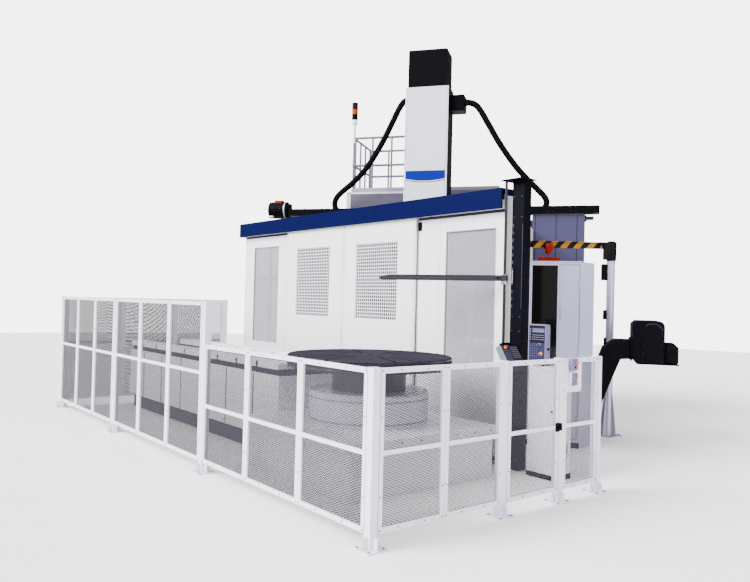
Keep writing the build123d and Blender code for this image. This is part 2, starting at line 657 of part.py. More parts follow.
arm_plane = Plane(
    origin=(ROD_X, ROD_Y, ARM_Z),
    x_dir=(cos(radians(ARM_TURN)), sin(radians(ARM_TURN)), 0),
    z_dir=(0, 0, 1),
)
with BuildPart(arm_plane) as gauge_collar:
    with Locations((0, 0, -ARM_H / 2 - COLLAR_H / 2)):
        Cylinder(COLLAR_D / 2, COLLAR_H)
    spigot_bottom = -ARM_H / 2 - COLLAR_H
    with Locations((0, 0, spigot_bottom)):
        spigot_h = COLLAR_H + ARM_H + SPIGOT_OVER
        upwards = (Align.CENTER, Align.CENTER, Align.MIN)
        Cylinder(SPIGOT_D / 2, spigot_h, align=upwards)
        Cylinder(ROD_D / 2 + COLLAR_FIT, spigot_h, align=upwards, mode=Mode.SUBTRACT)
    lever_r = COLLAR_D / 2 + LEVER_OUT
    lever_z = -ARM_H / 2 - COLLAR_H / 2
    rod((-(COLLAR_D / 2 + lever_r) / 2, 0, lever_z), LEVER_D, LEVER_OUT + 10, turn=(0, 90, 0))
    rod((-lever_r, 0, lever_z + LEVER_H / 2), LEVER_D + 4, LEVER_H)
save(gauge_collar.part, "gauge_collar")

with BuildPart(arm_plane) as gauge_arm:
    with BuildSketch(Plane(arm_plane.origin, x_dir=arm_plane.x_dir, z_dir=-arm_plane.y_dir)):
        with BuildLine():
            Polyline((0, -ARM_H / 2), (0, ARM_H / 2), (ARM_LEN - 150, ARM_H / 2),
                     (ARM_LEN, ARM_TIP / 2 - 8), (ARM_LEN, -ARM_TIP / 2 - 8), (ARM_LEN - 50, -ARM_H / 2),
                     close=True)
        make_face()
    extrude(amount=ARM_T / 2, both=True)
    Cylinder(COLLAR_D / 2, ARM_H)
    Cylinder(SPIGOT_D / 2 + COLLAR_FIT, ARM_H, mode=Mode.SUBTRACT)
save(gauge_arm.part, "gauge_arm")

# Operator's panel on its pedestal, and the sloping desk
with BuildPart() as operator_panel:
    block((PANEL_X, PANEL_X + PANEL_W), (PANEL_FRONT, PANEL_FRONT + PANEL_DEPTH), (PANEL_BOTTOM, PANEL_TOP))
    fillet(operator_panel.edges().filter_by(Axis.Y), 8)
save(operator_panel.part, "operator_panel")

with BuildPart() as pedestal:
    block((PANEL_X, PANEL_X + PEDESTAL_W), (PANEL_FRONT, PANEL_FRONT + PEDESTAL_DEPTH), (0, PANEL_BOTTOM))
    fillet(pedestal.edges().filter_by(Axis.Z), 10)
save(pedestal.part, "pedestal")

with BuildPart() as desk:
    lip_x = DESK_TOP_X + (DESK_TOP - DESK_LIP) * DESK_LEAN
    with BuildSketch(Plane.XZ.offset(-FRONT_Y)):
        with BuildLine():
            Polyline((DESK_TOP_X, DESK_TOP), (lip_x, DESK_LIP), (lip_x, DESK_LIP - DESK_LIP_H),
                     (lip_x - DESK_THICK, DESK_LIP - DESK_LIP_H),
                     (DESK_TOP_X - DESK_THICK, DESK_TOP - DESK_THICK / 2), close=True)
        make_face()
    extrude(amount=FRONT_Y - DESK_FRONT)
save(desk.part, "desk")

# Tool cabinet: a tall housing with a chamfered corner, a smoked panel and a hinged door
cabinet_hinges = (LOW_HINGE_Z, 1400, 2400)
cabinet_pin_x = DOORWAY_RIGHT - 4


def cabinet_pin(pin_z):
    """A point on the axis of the cabinet door's hinges."""
    return machine.from_local_coords(Vector(cabinet_pin_x, CABINET_FRONT - HINGE_PIN_D / 2, pin_z))


with BuildPart() as tool_cabinet:
    with BuildSketch(machine):
        with BuildLine():
            Polyline((wall_line, CABINET_FRONT), (CABINET_RIGHT, CABINET_FRONT),
                     (CABINET_RIGHT + CHAMFER_X, CABINET_FRONT + CHAMFER_Y),
                     (CABINET_RIGHT + CHAMFER_X, CABINET_BACK), (wall_line, CABINET_BACK), close=True)
        make_face()
    extrude(amount=CABINET_TOP)
    with BuildSketch(machine.offset(CABINET_FLOOR)):
        doorway_mid = (DOORWAY_LEFT + DOORWAY_RIGHT) / 2
        hollow_depth = CABINET_BACK - CABINET_FRONT - CABINET_SKIN
        with Locations((doorway_mid, CABINET_FRONT + hollow_depth / 2)):
            Rectangle(DOORWAY_RIGHT - DOORWAY_LEFT, hollow_depth)
    extrude(amount=DOORWAY_TOP - CABINET_FLOOR, mode=Mode.SUBTRACT)
    for hinge_z in cabinet_hinges:
        for side in (-1, 1):
            knuckle_z = hinge_z + side * (KNUCKLE + RUN_FIT)
            with Locations(Location(cabinet_pin(knuckle_z), (0, 0, MACHINE_TURN))):
                Cylinder(HINGE_PIN_D / 2, KNUCKLE)
            with BuildSketch(machine.offset(knuckle_z)):
                with Locations((cabinet_pin_x + 17, CABINET_FRONT - 2)):
                    Rectangle(26, 4)
            extrude(amount=KNUCKLE / 2, both=True)
save(tool_cabinet.part, "tool_cabinet")

with BuildPart(machine) as cabinet_window:
    block((DOORWAY_LEFT, DOORWAY_SPLIT), (CABINET_FRONT, CABINET_FRONT + 12), (CABINET_FLOOR, DOORWAY_TOP))
save(cabinet_window.part, "cabinet_window")

with BuildPart(machine) as cabinet_door:
    block((DOORWAY_SPLIT + 8, DOORWAY_RIGHT - 8), (CABINET_FRONT, CABINET_FRONT + CABINET_SKIN),
          (CABINET_FLOOR + 8, DOORWAY_TOP - 8))
    for hinge_z in cabinet_hinges:
        rod((cabinet_pin_x, CABINET_FRONT - HINGE_PIN_D / 2, hinge_z), HINGE_PIN_D, KNUCKLE)
        block((cabinet_pin_x - 40, cabinet_pin_x - 5), (CABINET_FRONT - 4, CABINET_FRONT),
              (hinge_z - KNUCKLE / 2, hinge_z + KNUCKLE / 2))
    rod((DOORWAY_SPLIT + 40, CABINET_FRONT - 14, 1950), 14, 130)
    block((DOORWAY_SPLIT + 36, DOORWAY_SPLIT + 44), (CABINET_FRONT - 14, CABINET_FRONT), (1900, 1912))
    block((DOORWAY_SPLIT + 36, DOORWAY_SPLIT + 44), (CABINET_FRONT - 14, CABINET_FRONT), (1988, 2000))
save(cabinet_door.part, "cabinet_door")

# Jib crane: a post with tapered gussets, a swinging beam and a trolley with its lifting bar
with BuildPart() as jib_post:
    block((JIB_X - JIB_PLATE / 2, JIB_X + JIB_PLATE / 2), (JIB_Y - JIB_PLATE / 2, JIB_Y + JIB_PLATE / 2),
          (0, JIB_PLATE_T))
    rod((JIB_X, JIB_Y, (JIB_PLATE_T + JIB_TUBE_TOP) / 2), JIB_D, JIB_TUBE_TOP - JIB_PLATE_T)
    for heading in (0, 90):
        rib_cos, rib_sin = cos(radians(heading)), sin(radians(heading))
        rib = Plane(origin=(JIB_X, JIB_Y, JIB_PLATE_T), x_dir=(rib_cos, rib_sin, 0),
                    z_dir=(rib_sin, -rib_cos, 0))
        with BuildSketch(rib):
            with BuildLine():
                Polyline((-JIB_PLATE / 2 + 10, 0), (JIB_PLATE / 2 - 10, 0), (JIB_D / 2 + 4, JIB_GUSSET_H),
                         (-JIB_D / 2 - 4, JIB_GUSSET_H), close=True)
            make_face()
        extrude(amount=6, both=True)
    with Locations((JIB_X, JIB_Y, JIB_PLATE_T)):
        with GridLocations(JIB_HOLES, JIB_HOLES, 2, 2):
            Hole(JIB_HOLE_D / 2, depth=JIB_PLATE_T)
save(jib_post.part, "jib_post")

beam_plane = Plane(
    origin=(JIB_X, JIB_Y, 0),
    x_dir=(cos(radians(JIB_HEADING)), sin(radians(JIB_HEADING)), 0),
    z_dir=(0, 0, 1),
)
beam_bottom = JIB_TOP - BEAM_H
with BuildPart(beam_plane) as jib_beam:
    rod((0, 0, (JIB_TUBE_TOP + RUN_FIT + JIB_TOP) / 2), JIB_D + 20, JIB_TOP - JIB_TUBE_TOP - RUN_FIT)
    block((-JIB_D / 2 - 10, JIB_D / 2 + 60), (-BEAM_W / 2, BEAM_W / 2), (JIB_TUBE_TOP + 20, JIB_TOP))
    for flange_z in (beam_bottom, JIB_TOP - BEAM_FLANGE):
        block((JIB_D / 2, BEAM_LEN), (-BEAM_W / 2, BEAM_W / 2), (flange_z, flange_z + BEAM_FLANGE))
    block((JIB_D / 2, BEAM_LEN), (-BEAM_WEB / 2, BEAM_WEB / 2), (beam_bottom, JIB_TOP))
save(jib_beam.part, "jib_beam")

with BuildPart(beam_plane) as jib_trolley:
    cheek_in = BEAM_W / 2 + 6
    for side in (-1, 1):
        low, high = sorted((side * cheek_in, side * (cheek_in + 10)))
        block((TROLLEY_AT - 60, TROLLEY_AT + 60), (low, high), (beam_bottom - 40, beam_bottom + 70))
        rod((TROLLEY_AT, side * (cheek_in - 12), beam_bottom + BEAM_FLANGE + 16 + RUN_FIT), 32, 24,
            turn=(90, 0, 0))
    block((TROLLEY_AT - 60, TROLLEY_AT + 60), (-cheek_in, cheek_in), (beam_bottom - 40, beam_bottom - 28))
    rod((TROLLEY_AT, 0, (beam_bottom - 34 + HOOK_Z + HOOK_BAR_H - 4) / 2), 20,
        beam_bottom - 34 - HOOK_Z - HOOK_BAR_H + 4)
    block((TROLLEY_AT - HOOK_BAR_L / 2, TROLLEY_AT + HOOK_BAR_L / 2), (-22, 22),
          (HOOK_Z, HOOK_Z + HOOK_BAR_H))
save(jib_trolley.part, "jib_trolley")

# Chip conveyor: a trough from the enclosure's right wall that rises to a discharge head
with BuildPart() as conveyor_trough:
    with BuildSketch(Plane(machine.from_local_coords(Vector(0, CHIP_Y0, 0)), x_dir=machine.x_dir,
                           z_dir=-machine.y_dir)):
        with BuildLine():
            Polyline((wall_line, CHIP_FLOOR), (CHIP_LOW_END + 160, CHIP_FLOOR), (CHIP_NECK_X + 60, CHIP_NECK_UNDER),
                     (CHIP_HEAD_X, CHIP_THROAT_UNDER), (CHIP_HEAD_X, CHIP_NECK_TOP),
                     (CHIP_NECK_X - 20, CHIP_NECK_TOP), (CHIP_NECK_X - 190, CHIP_RISE_TOP), (CHIP_LOW_END - 30, CHIP_FLOOR + CHIP_H),
                     (wall_line, CHIP_FLOOR + CHIP_H), close=True)
        make_face()
    extrude(amount=CHIP_Y0 - CHIP_Y1)
    with BuildSketch(machine):
        with Locations((wall_line + 80, (CHIP_Y0 + CHIP_Y1) / 2), (CHIP_LOW_END, (CHIP_Y0 + CHIP_Y1) / 2)):
            Rectangle(60, CHIP_Y1 - CHIP_Y0)
    extrude(amount=CHIP_FLOOR)
save(conveyor_trough.part, "conveyor_trough")

with BuildPart(machine) as conveyor_head:
    block((CHIP_HEAD_X, CHIP_HEAD_END), (CHIP_Y0 - 40, CHIP_Y1 + 40), (CHIP_HEAD_BOTTOM, CHIP_HEAD_TOP))
    across_plane = Plane(machine.origin, z_dir=machine.y_dir)
    fillet(conveyor_head.edges().filter_by(across_plane).group_by(Axis.Z)[-1], 90)
    block((CHIP_HEAD_END, CHIP_MOTOR_END), (CHIP_Y0 - 20, CHIP_Y1 + 20), (CHIP_HEAD_BOTTOM, CHIP_MOTOR_TOP))
    block((CHIP_HEAD_X + 150, CHIP_HEAD_X + 210), (CHIP_Y1 - 160, CHIP_Y1 - 100), (0, CHIP_HEAD_BOTTOM))
    block((CHIP_HEAD_X + 150, CHIP_HEAD_X + 210), (CHIP_Y0 + 100, CHIP_Y0 + 160), (0, CHIP_HEAD_BOTTOM))
save(conveyor_head.part, "conveyor_head")

# Guard fence: posts on foot plates, panel frames, and the mesh sheets inside the frames
tall_posts = (FENCE_LEFT + POST, TALL_POST_X, STEP_POST_X)
low_posts = (
    (FENCE_RIGHT, FENCE_FRONT + POST),
    (FENCE_RIGHT, GATE_HINGE_Y),
    (FENCE_RIGHT, GATE_POST_Y),
    (FENCE_RIGHT, END_POST_Y),
)


hinge_y = GATE_HINGE_Y + GATE_CLEAR / 2
hinge_heights = (LOW_HINGE_Z, HIGH_HINGE_Z)


def fence_post(x1, y1, height):
    """A square post whose right back corner is given, with its foot plate and two foot ribs."""
    block((x1 - POST, x1), (y1 - POST, y1), (FOOT_T, height))
    mid_x, mid_y = x1 - POST / 2, y1 - POST / 2
    block((mid_x - FOOT / 2, mid_x + FOOT / 2), (mid_y - FOOT / 2, mid_y + FOOT / 2), (0, FOOT_T))
    block((mid_x - FOOT / 2 + 10, mid_x + FOOT / 2 - 10), (mid_y - 4, mid_y + 4), (FOOT_T, FOOT_RIB_H))
    block((mid_x - 4, mid_x + 4), (mid_y - FOOT / 2 + 10, mid_y + FOOT / 2 - 10), (FOOT_T, FOOT_RIB_H))


with BuildPart() as fence_posts:
    for post_x in tall_posts:
        fence_post(post_x, FENCE_FRONT + POST, TALL_H)
    fence_post(FENCE_LEFT + POST, LEFT_RUN_END, TALL_H)
    for post_x, post_y in low_posts:
        fence_post(post_x, post_y, LOW_H)
    for hinge_z in hinge_heights:
        for side in (-1, 1):
            knuckle_z = hinge_z + side * (KNUCKLE + RUN_FIT)
            rod((FENCE_RIGHT + HINGE_PIN_D / 2, hinge_y, knuckle_z), HINGE_PIN_D, KNUCKLE)
            block((FENCE_RIGHT, FENCE_RIGHT + 4), (GATE_HINGE_Y - 40, GATE_HINGE_Y + 1),
                  (knuckle_z - KNUCKLE / 2, knuckle_z + KNUCKLE / 2))
save(fence_posts.part, "fence_posts")


def panel_spans(start, end, count):
    """Split the gap between two posts into equal panels with a narrow joint between them."""
    width = (end - start - (count - 1) * PANEL_JOINT) / count
    return [(start + index * (width + PANEL_JOINT), start + index * (width + PANEL_JOINT) + width)
            for index in range(count)]


def panel_mesh(span, along_x, face, height):
    """The mesh of one panel: a thin sheet with a plain grid of openings, set back in its frame."""
    inward = -1 if face == FENCE_RIGHT else 1
    mesh_at = face + inward * (PANEL_DEEP - 10)
    low, high = span[0] + PANEL_FRAME, span[1] - PANEL_FRAME
    bottom, top = PANEL_GAP + PANEL_FRAME, height - 6 - PANEL_FRAME
    along, up = (low + high) / 2, (bottom + top) / 2
    if along_x:
        sheet = Plane(origin=(along, mesh_at, up), x_dir=(1, 0, 0), z_dir=(0, inward, 0))
    else:
        sheet = Plane(origin=(mesh_at, along, up), x_dir=(0, 1, 0), z_dir=(inward, 0, 0))
    with BuildSketch(sheet) as mesh_outline:
        open_sheet(high - low, top - bottom, MESH_COLUMNS, MESH_ROWS, MESH_BAR)
    extrude(mesh_outline.sketch, amount=MESH_T)


def panel_frame(span, along_x, face, height, mid_z):
    """The frame of one panel in a run, with its middle rail."""
    def bar(low, high, z, depth):
        if along_x:
            block((low, high), depth, z)
        else:
            block(depth, (low, high), z)

    inward = -1 if face == FENCE_RIGHT else 1
    depth = tuple(sorted((face, face + inward * PANEL_DEEP)))
    front_depth = tuple(sorted((face, face + inward * (PANEL_DEEP - 10))))
    low, high = span
    top = height - 6
    bar(low, low + PANEL_FRAME, (PANEL_GAP, top), depth)
    bar(high - PANEL_FRAME, high, (PANEL_GAP, top), depth)
    bar(low + PANEL_FRAME, high - PANEL_FRAME, (PANEL_GAP, PANEL_GAP + PANEL_FRAME), depth)
    bar(low + PANEL_FRAME, high - PANEL_FRAME, (top - PANEL_FRAME, top), depth)
    bar(low + PANEL_FRAME, high - PANEL_FRAME, (mid_z - MIDRAIL_H / 2, mid_z + MIDRAIL_H / 2), front_depth)


fence_runs = [
    (panel_spans(FENCE_LEFT + POST, TALL_POST_X - POST, 3), True, FENCE_FRONT, TALL_H, TALL_MID_Z),
    (panel_spans(TALL_POST_X, STEP_POST_X - POST, 3), True, FENCE_FRONT, TALL_H, TALL_MID_Z),
    (panel_spans(STEP_POST_X, FENCE_RIGHT - POST, 3), True, FENCE_FRONT, LOW_H, LOW_MID_Z),
    (panel_spans(FENCE_FRONT + POST, GATE_HINGE_Y - POST, 2), False, FENCE_RIGHT, LOW_H, LOW_MID_Z),
    (panel_spans(GATE_POST_Y, END_POST_Y - POST, 1), False, FENCE_RIGHT, LOW_H, LOW_MID_Z),
    (panel_spans(FENCE_FRONT + POST, LEFT_RUN_END - POST, 3), False, FENCE_LEFT, TALL_H, TALL_MID_Z),
]
with BuildPart() as fence_frames:
    for spans, along_x, face, height, mid_z in fence_runs:
        for span in spans:
            panel_frame(span, along_x, face, height, mid_z)
        for span in spans[:-1]:
            joint = (span[1], span[1] + PANEL_JOINT)
            depth = (face + 5, face + 25) if face != FENCE_RIGHT else (face - 25, face - 5)
            for spacer_z in (PANEL_GAP + 150, mid_z, height - 150):
                heights = (spacer_z - 15, spacer_z + 15)
                if along_x:
                    block(joint, depth, heights)
                else:
                    block(depth, joint, heights)
save(fence_frames.part, "fence_frames")

with BuildPart() as fence_mesh:
    for spans, along_x, face, height, mid_z in fence_runs:
        for span in spans:
            panel_mesh(span, along_x, face, height)
save(fence_mesh.part, "fence_mesh")

# Gate in the right run, hinged on its left post
gate_span = (GATE_HINGE_Y + GATE_CLEAR, GATE_POST_Y - POST - GATE_CLEAR)
with BuildPart() as gate_frame:
    panel_frame(gate_span, False, FENCE_RIGHT, LOW_H, LOW_MID_Z)
    for hinge_z in hinge_heights:
        rod((FENCE_RIGHT + HINGE_PIN_D / 2, hinge_y, hinge_z), HINGE_PIN_D, KNUCKLE)
        block((FENCE_RIGHT, FENCE_RIGHT + 4), (hinge_y + 4, gate_span[0] + 40),
              (hinge_z - KNUCKLE / 2, hinge_z + KNUCKLE / 2))
save(gate_frame.part, "gate_frame")

with BuildPart() as gate_mesh:
    panel_mesh(gate_span, False, FENCE_RIGHT, LOW_H)
save(gate_mesh.part, "gate_mesh")

# Switch box on a plate beside the latch post
with BuildPart() as switch_box:
    block((FENCE_RIGHT, FENCE_RIGHT + SWITCH_PLATE_T), (SWITCH_Y - 80, SWITCH_Y + 2 * SWITCH_W),
          (SWITCH_TOP - SWITCH_H - 65, SWITCH_TOP - 20))
    block((FENCE_RIGHT + SWITCH_PLATE_T, FENCE_RIGHT + SWITCH_D), (SWITCH_Y, SWITCH_Y + SWITCH_W),
          (SWITCH_TOP - SWITCH_H, SWITCH_TOP))
save(switch_box.part, "switch_box")
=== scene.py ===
"""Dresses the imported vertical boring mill: finishes for its solids, mesh, perforated sheets and small parts."""

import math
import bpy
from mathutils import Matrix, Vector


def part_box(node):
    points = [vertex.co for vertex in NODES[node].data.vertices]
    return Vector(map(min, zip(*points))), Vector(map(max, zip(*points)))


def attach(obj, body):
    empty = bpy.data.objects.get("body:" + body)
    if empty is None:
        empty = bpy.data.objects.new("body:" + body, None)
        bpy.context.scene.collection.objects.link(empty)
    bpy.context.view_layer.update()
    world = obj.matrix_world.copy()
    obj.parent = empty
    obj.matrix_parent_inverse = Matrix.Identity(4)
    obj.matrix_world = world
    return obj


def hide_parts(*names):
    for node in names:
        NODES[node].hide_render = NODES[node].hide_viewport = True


bl_info = {
    "name": "Vertical Boring Mill",
    "version": (1, 0, 0),
    "blender": (4, 5, 0),
    "location": "View3D > Sidebar > Boring Mill",
    "description": "Builds the looks of a vertical boring mill with its fence, doors, hoses and crane",
    "category": "Add Mesh",
}

import bpy
import numpy as np
from bpy.props import FloatProperty, FloatVectorProperty, IntProperty, PointerProperty
from mathutils import Matrix, Vector

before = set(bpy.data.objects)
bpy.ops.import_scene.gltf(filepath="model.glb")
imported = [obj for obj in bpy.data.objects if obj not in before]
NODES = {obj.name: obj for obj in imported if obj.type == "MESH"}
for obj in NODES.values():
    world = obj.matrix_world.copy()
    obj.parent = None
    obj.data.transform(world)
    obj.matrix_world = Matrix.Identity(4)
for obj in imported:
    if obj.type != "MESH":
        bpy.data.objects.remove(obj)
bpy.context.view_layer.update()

# The machine stands turned behind the wall: its own axes start under the boring axis
MACHINE_ORIGIN = np.array([-2.62, 4.04, 0.0])
MACHINE_TURN = math.radians(35)
BEAM_TURN = math.radians(231)
JIB_AT = np.array([0.33, 4.64, 0.0])
ARM_TURN = math.radians(208)
ARM_AT = np.array([0.88, 1.43, 2.378])

# Fence, as in the solids
FENCE_FRONT, FENCE_RIGHT, FENCE_LEFT = -1.75, 2.24, -6.74
LOW_H, TALL_H, POST = 1.503, 2.0, 0.08
PANEL_JOINT, PANEL_FRAME, PANEL_GAP = 0.004, 0.045, 0.13
MESH_DEPTH = 0.0215
MESH_LAP = 0.004
FRAME_TOP = 0.006

# Directions, as the operator sees them
FRONT, BACK, RIGHT, LEFT, UP = (0, -1, 0), (0, 1, 0), (1, 0, 0), (-1, 0, 0), (0, 0, 1)


def srgb(red, green, blue):
    """A display colour, 0 to 255, as the linear colour that shaders take."""
    value = np.array([red, green, blue], float) / 255
    linear = np.where(value <= 0.04045, value / 12.92, ((value + 0.055) / 1.055) ** 2.4)
    return (*(float(channel) for channel in linear), 1.0)


# Surfaces worked out from formulas

def axes_of(direction):
    """Two unit vectors square to a direction and to each other, right-handed with it."""
    direction = np.asarray(direction, float) / np.linalg.norm(direction)
    helper = np.array([0, 0, 1.0]) if abs(direction[2]) < 0.9 else np.array([1.0, 0, 0])
    across = np.cross(helper, direction)
    across /= np.linalg.norm(across)
    return across, np.cross(direction, across), direction


def rings(points, caps=True):
    """Quads over copies of a grid of points, shaped copies, rings, sides, 3: neighbours in a ring and from ring to
    ring are joined, the last side meets the first, and each end ring is closed by one flat face."""
    copies, count, sides = points.shape[:3]
    ring, side = np.meshgrid(np.arange(count - 1), np.arange(sides), indexing="ij")
    after = (side + 1) % sides
    quads = np.stack([ring * sides + side, ring * sides + after,
                      (ring + 1) * sides + after, (ring + 1) * sides + side], -1).reshape(-1, 4)
    start = (np.arange(copies) * count * sides)[:, None, None]
    faces = [(quads[None] + start).reshape(-1, 4)]
    if caps:
        low = np.arange(sides)[::-1]
        high = np.arange(sides) + (count - 1) * sides
        faces.append((np.stack([low, high])[None] + start).reshape(-1, sides))
    return points.reshape(-1, 3), faces


CUT_X = np.array([[1, 1, 1, -1, -1, -1, -1, 1], [0, 0, 1, 1, 0, 0, 1, 1]], float)
CUT_Y = np.array([[-1, 1, 1, 1, 1, -1, -1, -1], [1, 1, 0, 0, 1, 1, 0, 0]], float)


def bars(low, high, cut=0.002):
    """Straight bars from low to high corners. A rectangle with cut corners is carried along Z, and it is drawn in by
    the cut at both ends, so every edge has a small flat."""
    low, high = np.broadcast_arrays(np.atleast_2d(np.asarray(low, float)), np.atleast_2d(np.asarray(high, float)))
    half, middle = np.abs(high - low) / 2, (high + low) / 2
    cut = np.minimum(cut, half.min(1) * 0.4)[:, None, None]
    inset = cut * np.array([1, 0, 0, 1])[None, :, None]
    x = CUT_X[0] * (half[:, 0, None, None] - cut * CUT_X[1] - inset)
    y = CUT_Y[0] * (half[:, 1, None, None] - cut * CUT_Y[1] - inset)
    z = half[:, 2, None, None] * np.array([-1, -1, 1, 1])[None, :, None]
    z = z + cut * np.array([0, 1, -1, 0])[None, :, None]
    grid = np.stack(np.broadcast_arrays(x, y, z), -1) + middle[:, None, None]
    return rings(grid)


def lathe(profile, centres, axis=(0, 0, 1), sides=20):
    """A profile of radius and height turned about an axis: a point is the centre, plus the height along the axis,
    plus the radius times cosine and sine of the turn. One copy stands at each centre."""
    profile, centres = np.asarray(profile, float), np.atleast_2d(np.asarray(centres, float))
    across, up, along = axes_of(axis)
    turn = np.linspace(0, 2 * np.pi, sides, endpoint=False)
    circle = np.cos(turn)[:, None] * across + np.sin(turn)[:, None] * up
    shape = profile[:, 0, None, None] * circle[None] + profile[:, 1, None, None] * along
    return rings(centres[:, None, None] + shape[None])


def rod(start, end, radius, cut=0.0, sides=16):
    """A round bar between two points: a circle carried along a straight line, drawn in by the cut at its ends."""
    start, end = np.asarray(start, float), np.asarray(end, float)
    length = float(np.linalg.norm(end - start))
    cut = min(cut, radius * 0.4, length * 0.2)
    profile = [(radius - cut, 0), (radius, cut), (radius, length - cut), (radius - cut, length)]
    if cut == 0:
        profile = [(radius, 0), (radius, length)]
    return lathe(profile, start, end - start, sides)


def tube(path, radius, sides=12):
    """A circle carried along a path. Each ring stands square to the path, and its first side is the last ring's first
    side laid flat into the new ring, so the tube doesn't twist."""
    path = np.asarray(path, float)
    radius = np.broadcast_to(np.asarray(radius, float), len(path))
    run = np.gradient(path, axis=0)
    run /= np.linalg.norm(run, axis=1)[:, None]
    side = axes_of(run[0])[0]
    sides_along = []
    for direction in run:
        side = side - direction * side.dot(direction)
        side = side / np.linalg.norm(side)
        sides_along.append(side)
    across = np.array(sides_along)
    up = np.cross(run, across)
    turn = np.linspace(0, 2 * np.pi, sides, endpoint=False)
    circle = np.cos(turn)[None, :, None] * across[:, None] + np.sin(turn)[None, :, None] * up[:, None]
    return rings((path[:, None] + radius[:, None, None] * circle)[None])


def slab(outline, low, high, origin, cut=0.0, across=RIGHT, up=UP):
    """A flat outline carried straight from low to high along its own normal, with its edge drawn in by the cut."""
    outline = np.asarray(outline, float)
    across, up = np.asarray(across, float), np.asarray(up, float)
    normal = np.cross(across, up)
    area = 0.5 * np.sum(outline[:, 0] * np.roll(outline[:, 1], -1) - np.roll(outline[:, 0], -1) * outline[:, 1])
    if area < 0:
        outline = outline[::-1]
    before, after = np.roll(outline, 1, 0), np.roll(outline, -1, 0)
    first, second = outline - before, after - outline
    first /= np.linalg.norm(first, axis=1)[:, None]
    second /= np.linalg.norm(second, axis=1)[:, None]
    inward = np.stack([-first[:, 1] - second[:, 1], first[:, 0] + second[:, 0]], 1)
    scale = 1 + np.sum(first * second, 1)
    inward /= np.maximum(scale, 0.3)[:, None]
    levels = [(low, 0.0), (high, 0.0)]
    if cut > 0:
        levels = [(low, cut), (low + cut, 0.0), (high - cut, 0.0), (high, cut)]
    grid = []
    for height, draw in levels:
        flat = outline + inward * draw
        grid.append(np.asarray(origin, float) + flat[:, :1] * across + flat[:, 1:] * up + height * normal)
    return rings(np.array(grid)[None])


def turned(shape, angle, origin):
    """Turns a shape about Z and then moves it to an origin."""
    points, faces = shape
    cos, sin = math.cos(angle), math.sin(angle)
    turn = np.array([[cos, sin, 0], [-sin, cos, 0], [0, 0, 1]])
    return points @ turn + np.asarray(origin, float), faces


def in_machine(shape):
    """Turns a shape about the boring axis and moves it there, from the machine's own axes to the frame's."""
    return turned(shape, MACHINE_TURN, MACHINE_ORIGIN)


def on_beam(shape):
    """Moves a shape from the crane beam's own axes, whose X runs along the beam, to the frame's."""
    return turned(shape, BEAM_TURN, JIB_AT)


def on_arm(shape):
    """Moves a shape from the gauge arm's own axes, whose X runs along the arm, to the frame's."""
    return turned(shape, ARM_TURN, ARM_AT)


def merged(shapes):
    """Several shapes as one: their points in a row and their faces renumbered."""
    points, faces, start = [], [], 0
    for shape_points, shape_faces in shapes:
        points.append(shape_points)
        faces += [face + start for face in shape_faces]
        start += len(shape_points)
    return np.concatenate(points), faces


def put(name, groups, body, smooth=40.0, place=None):
    """Makes one piece from groups of (finish, shapes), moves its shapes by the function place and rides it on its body
   ."""
    points, corners, starts, materials, offset, corner_total = [], [], [], [], 0, 0
    mesh = bpy.data.meshes.new(name)
    for index, (surface, shapes) in enumerate(groups):
        mesh.materials.append(FINISHES[surface])
        shape_points, faces = merged([place(shape) for shape in shapes] if place else shapes)
        points.append(shape_points)
        for face in faces:
            if not len(face):
                continue
            corners.append((face + offset).ravel())
            starts.append(corner_total + np.arange(len(face)) * face.shape[1])
            materials.append(np.full(len(face), index))
            corner_total += face.size
        offset += len(shape_points)
    points, corners = np.concatenate(points), np.concatenate(corners)
    starts, materials = np.concatenate(starts), np.concatenate(materials)
    mesh.vertices.add(len(points))
    mesh.vertices.foreach_set("co", points.astype(np.float32).ravel())
    mesh.loops.add(len(corners))
    mesh.loops.foreach_set("vertex_index", corners.astype(np.int32))
    mesh.polygons.add(len(starts))
    mesh.polygons.foreach_set("loop_start", starts.astype(np.int32))
    mesh.polygons.foreach_set("material_index", materials.astype(np.int32))
    mesh.update(calc_edges=True)
    mesh.polygons.foreach_set("use_smooth", np.ones(len(starts), bool))
    mesh.set_sharp_from_angle(angle=math.radians(smooth))
    piece = bpy.data.objects.new(name, mesh)
    bpy.context.scene.collection.objects.link(piece)
    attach(piece, body)
    return piece


BOLT_R = 0.0072
BOLT_HEAD = [(0.0085, 0), (0.0085, 0.0012), (BOLT_R, 0.0014), (BOLT_R, 0.0052), (0.0056, 0.0066), (0.003, 0.0068)]


def bolt_heads(centres, axis=FRONT, radius=0.0065, sides=8):
    """Button heads on washers: one turned profile, scaled to the radius, at each centre."""
    return lathe(np.array(BOLT_HEAD) * (radius / BOLT_R), centres, axis, sides)


def hexes(centres, radius, height=0.009):
    """Hexagon heads on round washers, all pointing up."""
    washer = lathe([(radius * 1.5, 0), (radius * 1.5, height * 0.25)], centres, UP, 16)
    lifted = np.atleast_2d(centres) + np.asarray(UP, float) * height * 0.25
    head = lathe([(radius, 0), (radius, height * 0.8), (radius * 0.86, height)], lifted, UP, 6)
    return merged([washer, head])


def grid_of(*ranges):
    """Every combination of the given values of x, y and z, as rows."""
    return np.stack(np.meshgrid(*[np.atleast_1d(np.asarray(values, float)) for values in ranges], indexing="ij"),
                    -1).reshape(-1, 3)


# Finishes

def feed(tree, socket, value):
    """Links a value that is a socket to an input, or else sets the input's own value."""
    if isinstance(value, bpy.types.NodeSocket):
        tree.links.new(value, socket)
    else:
        socket.default_value = value


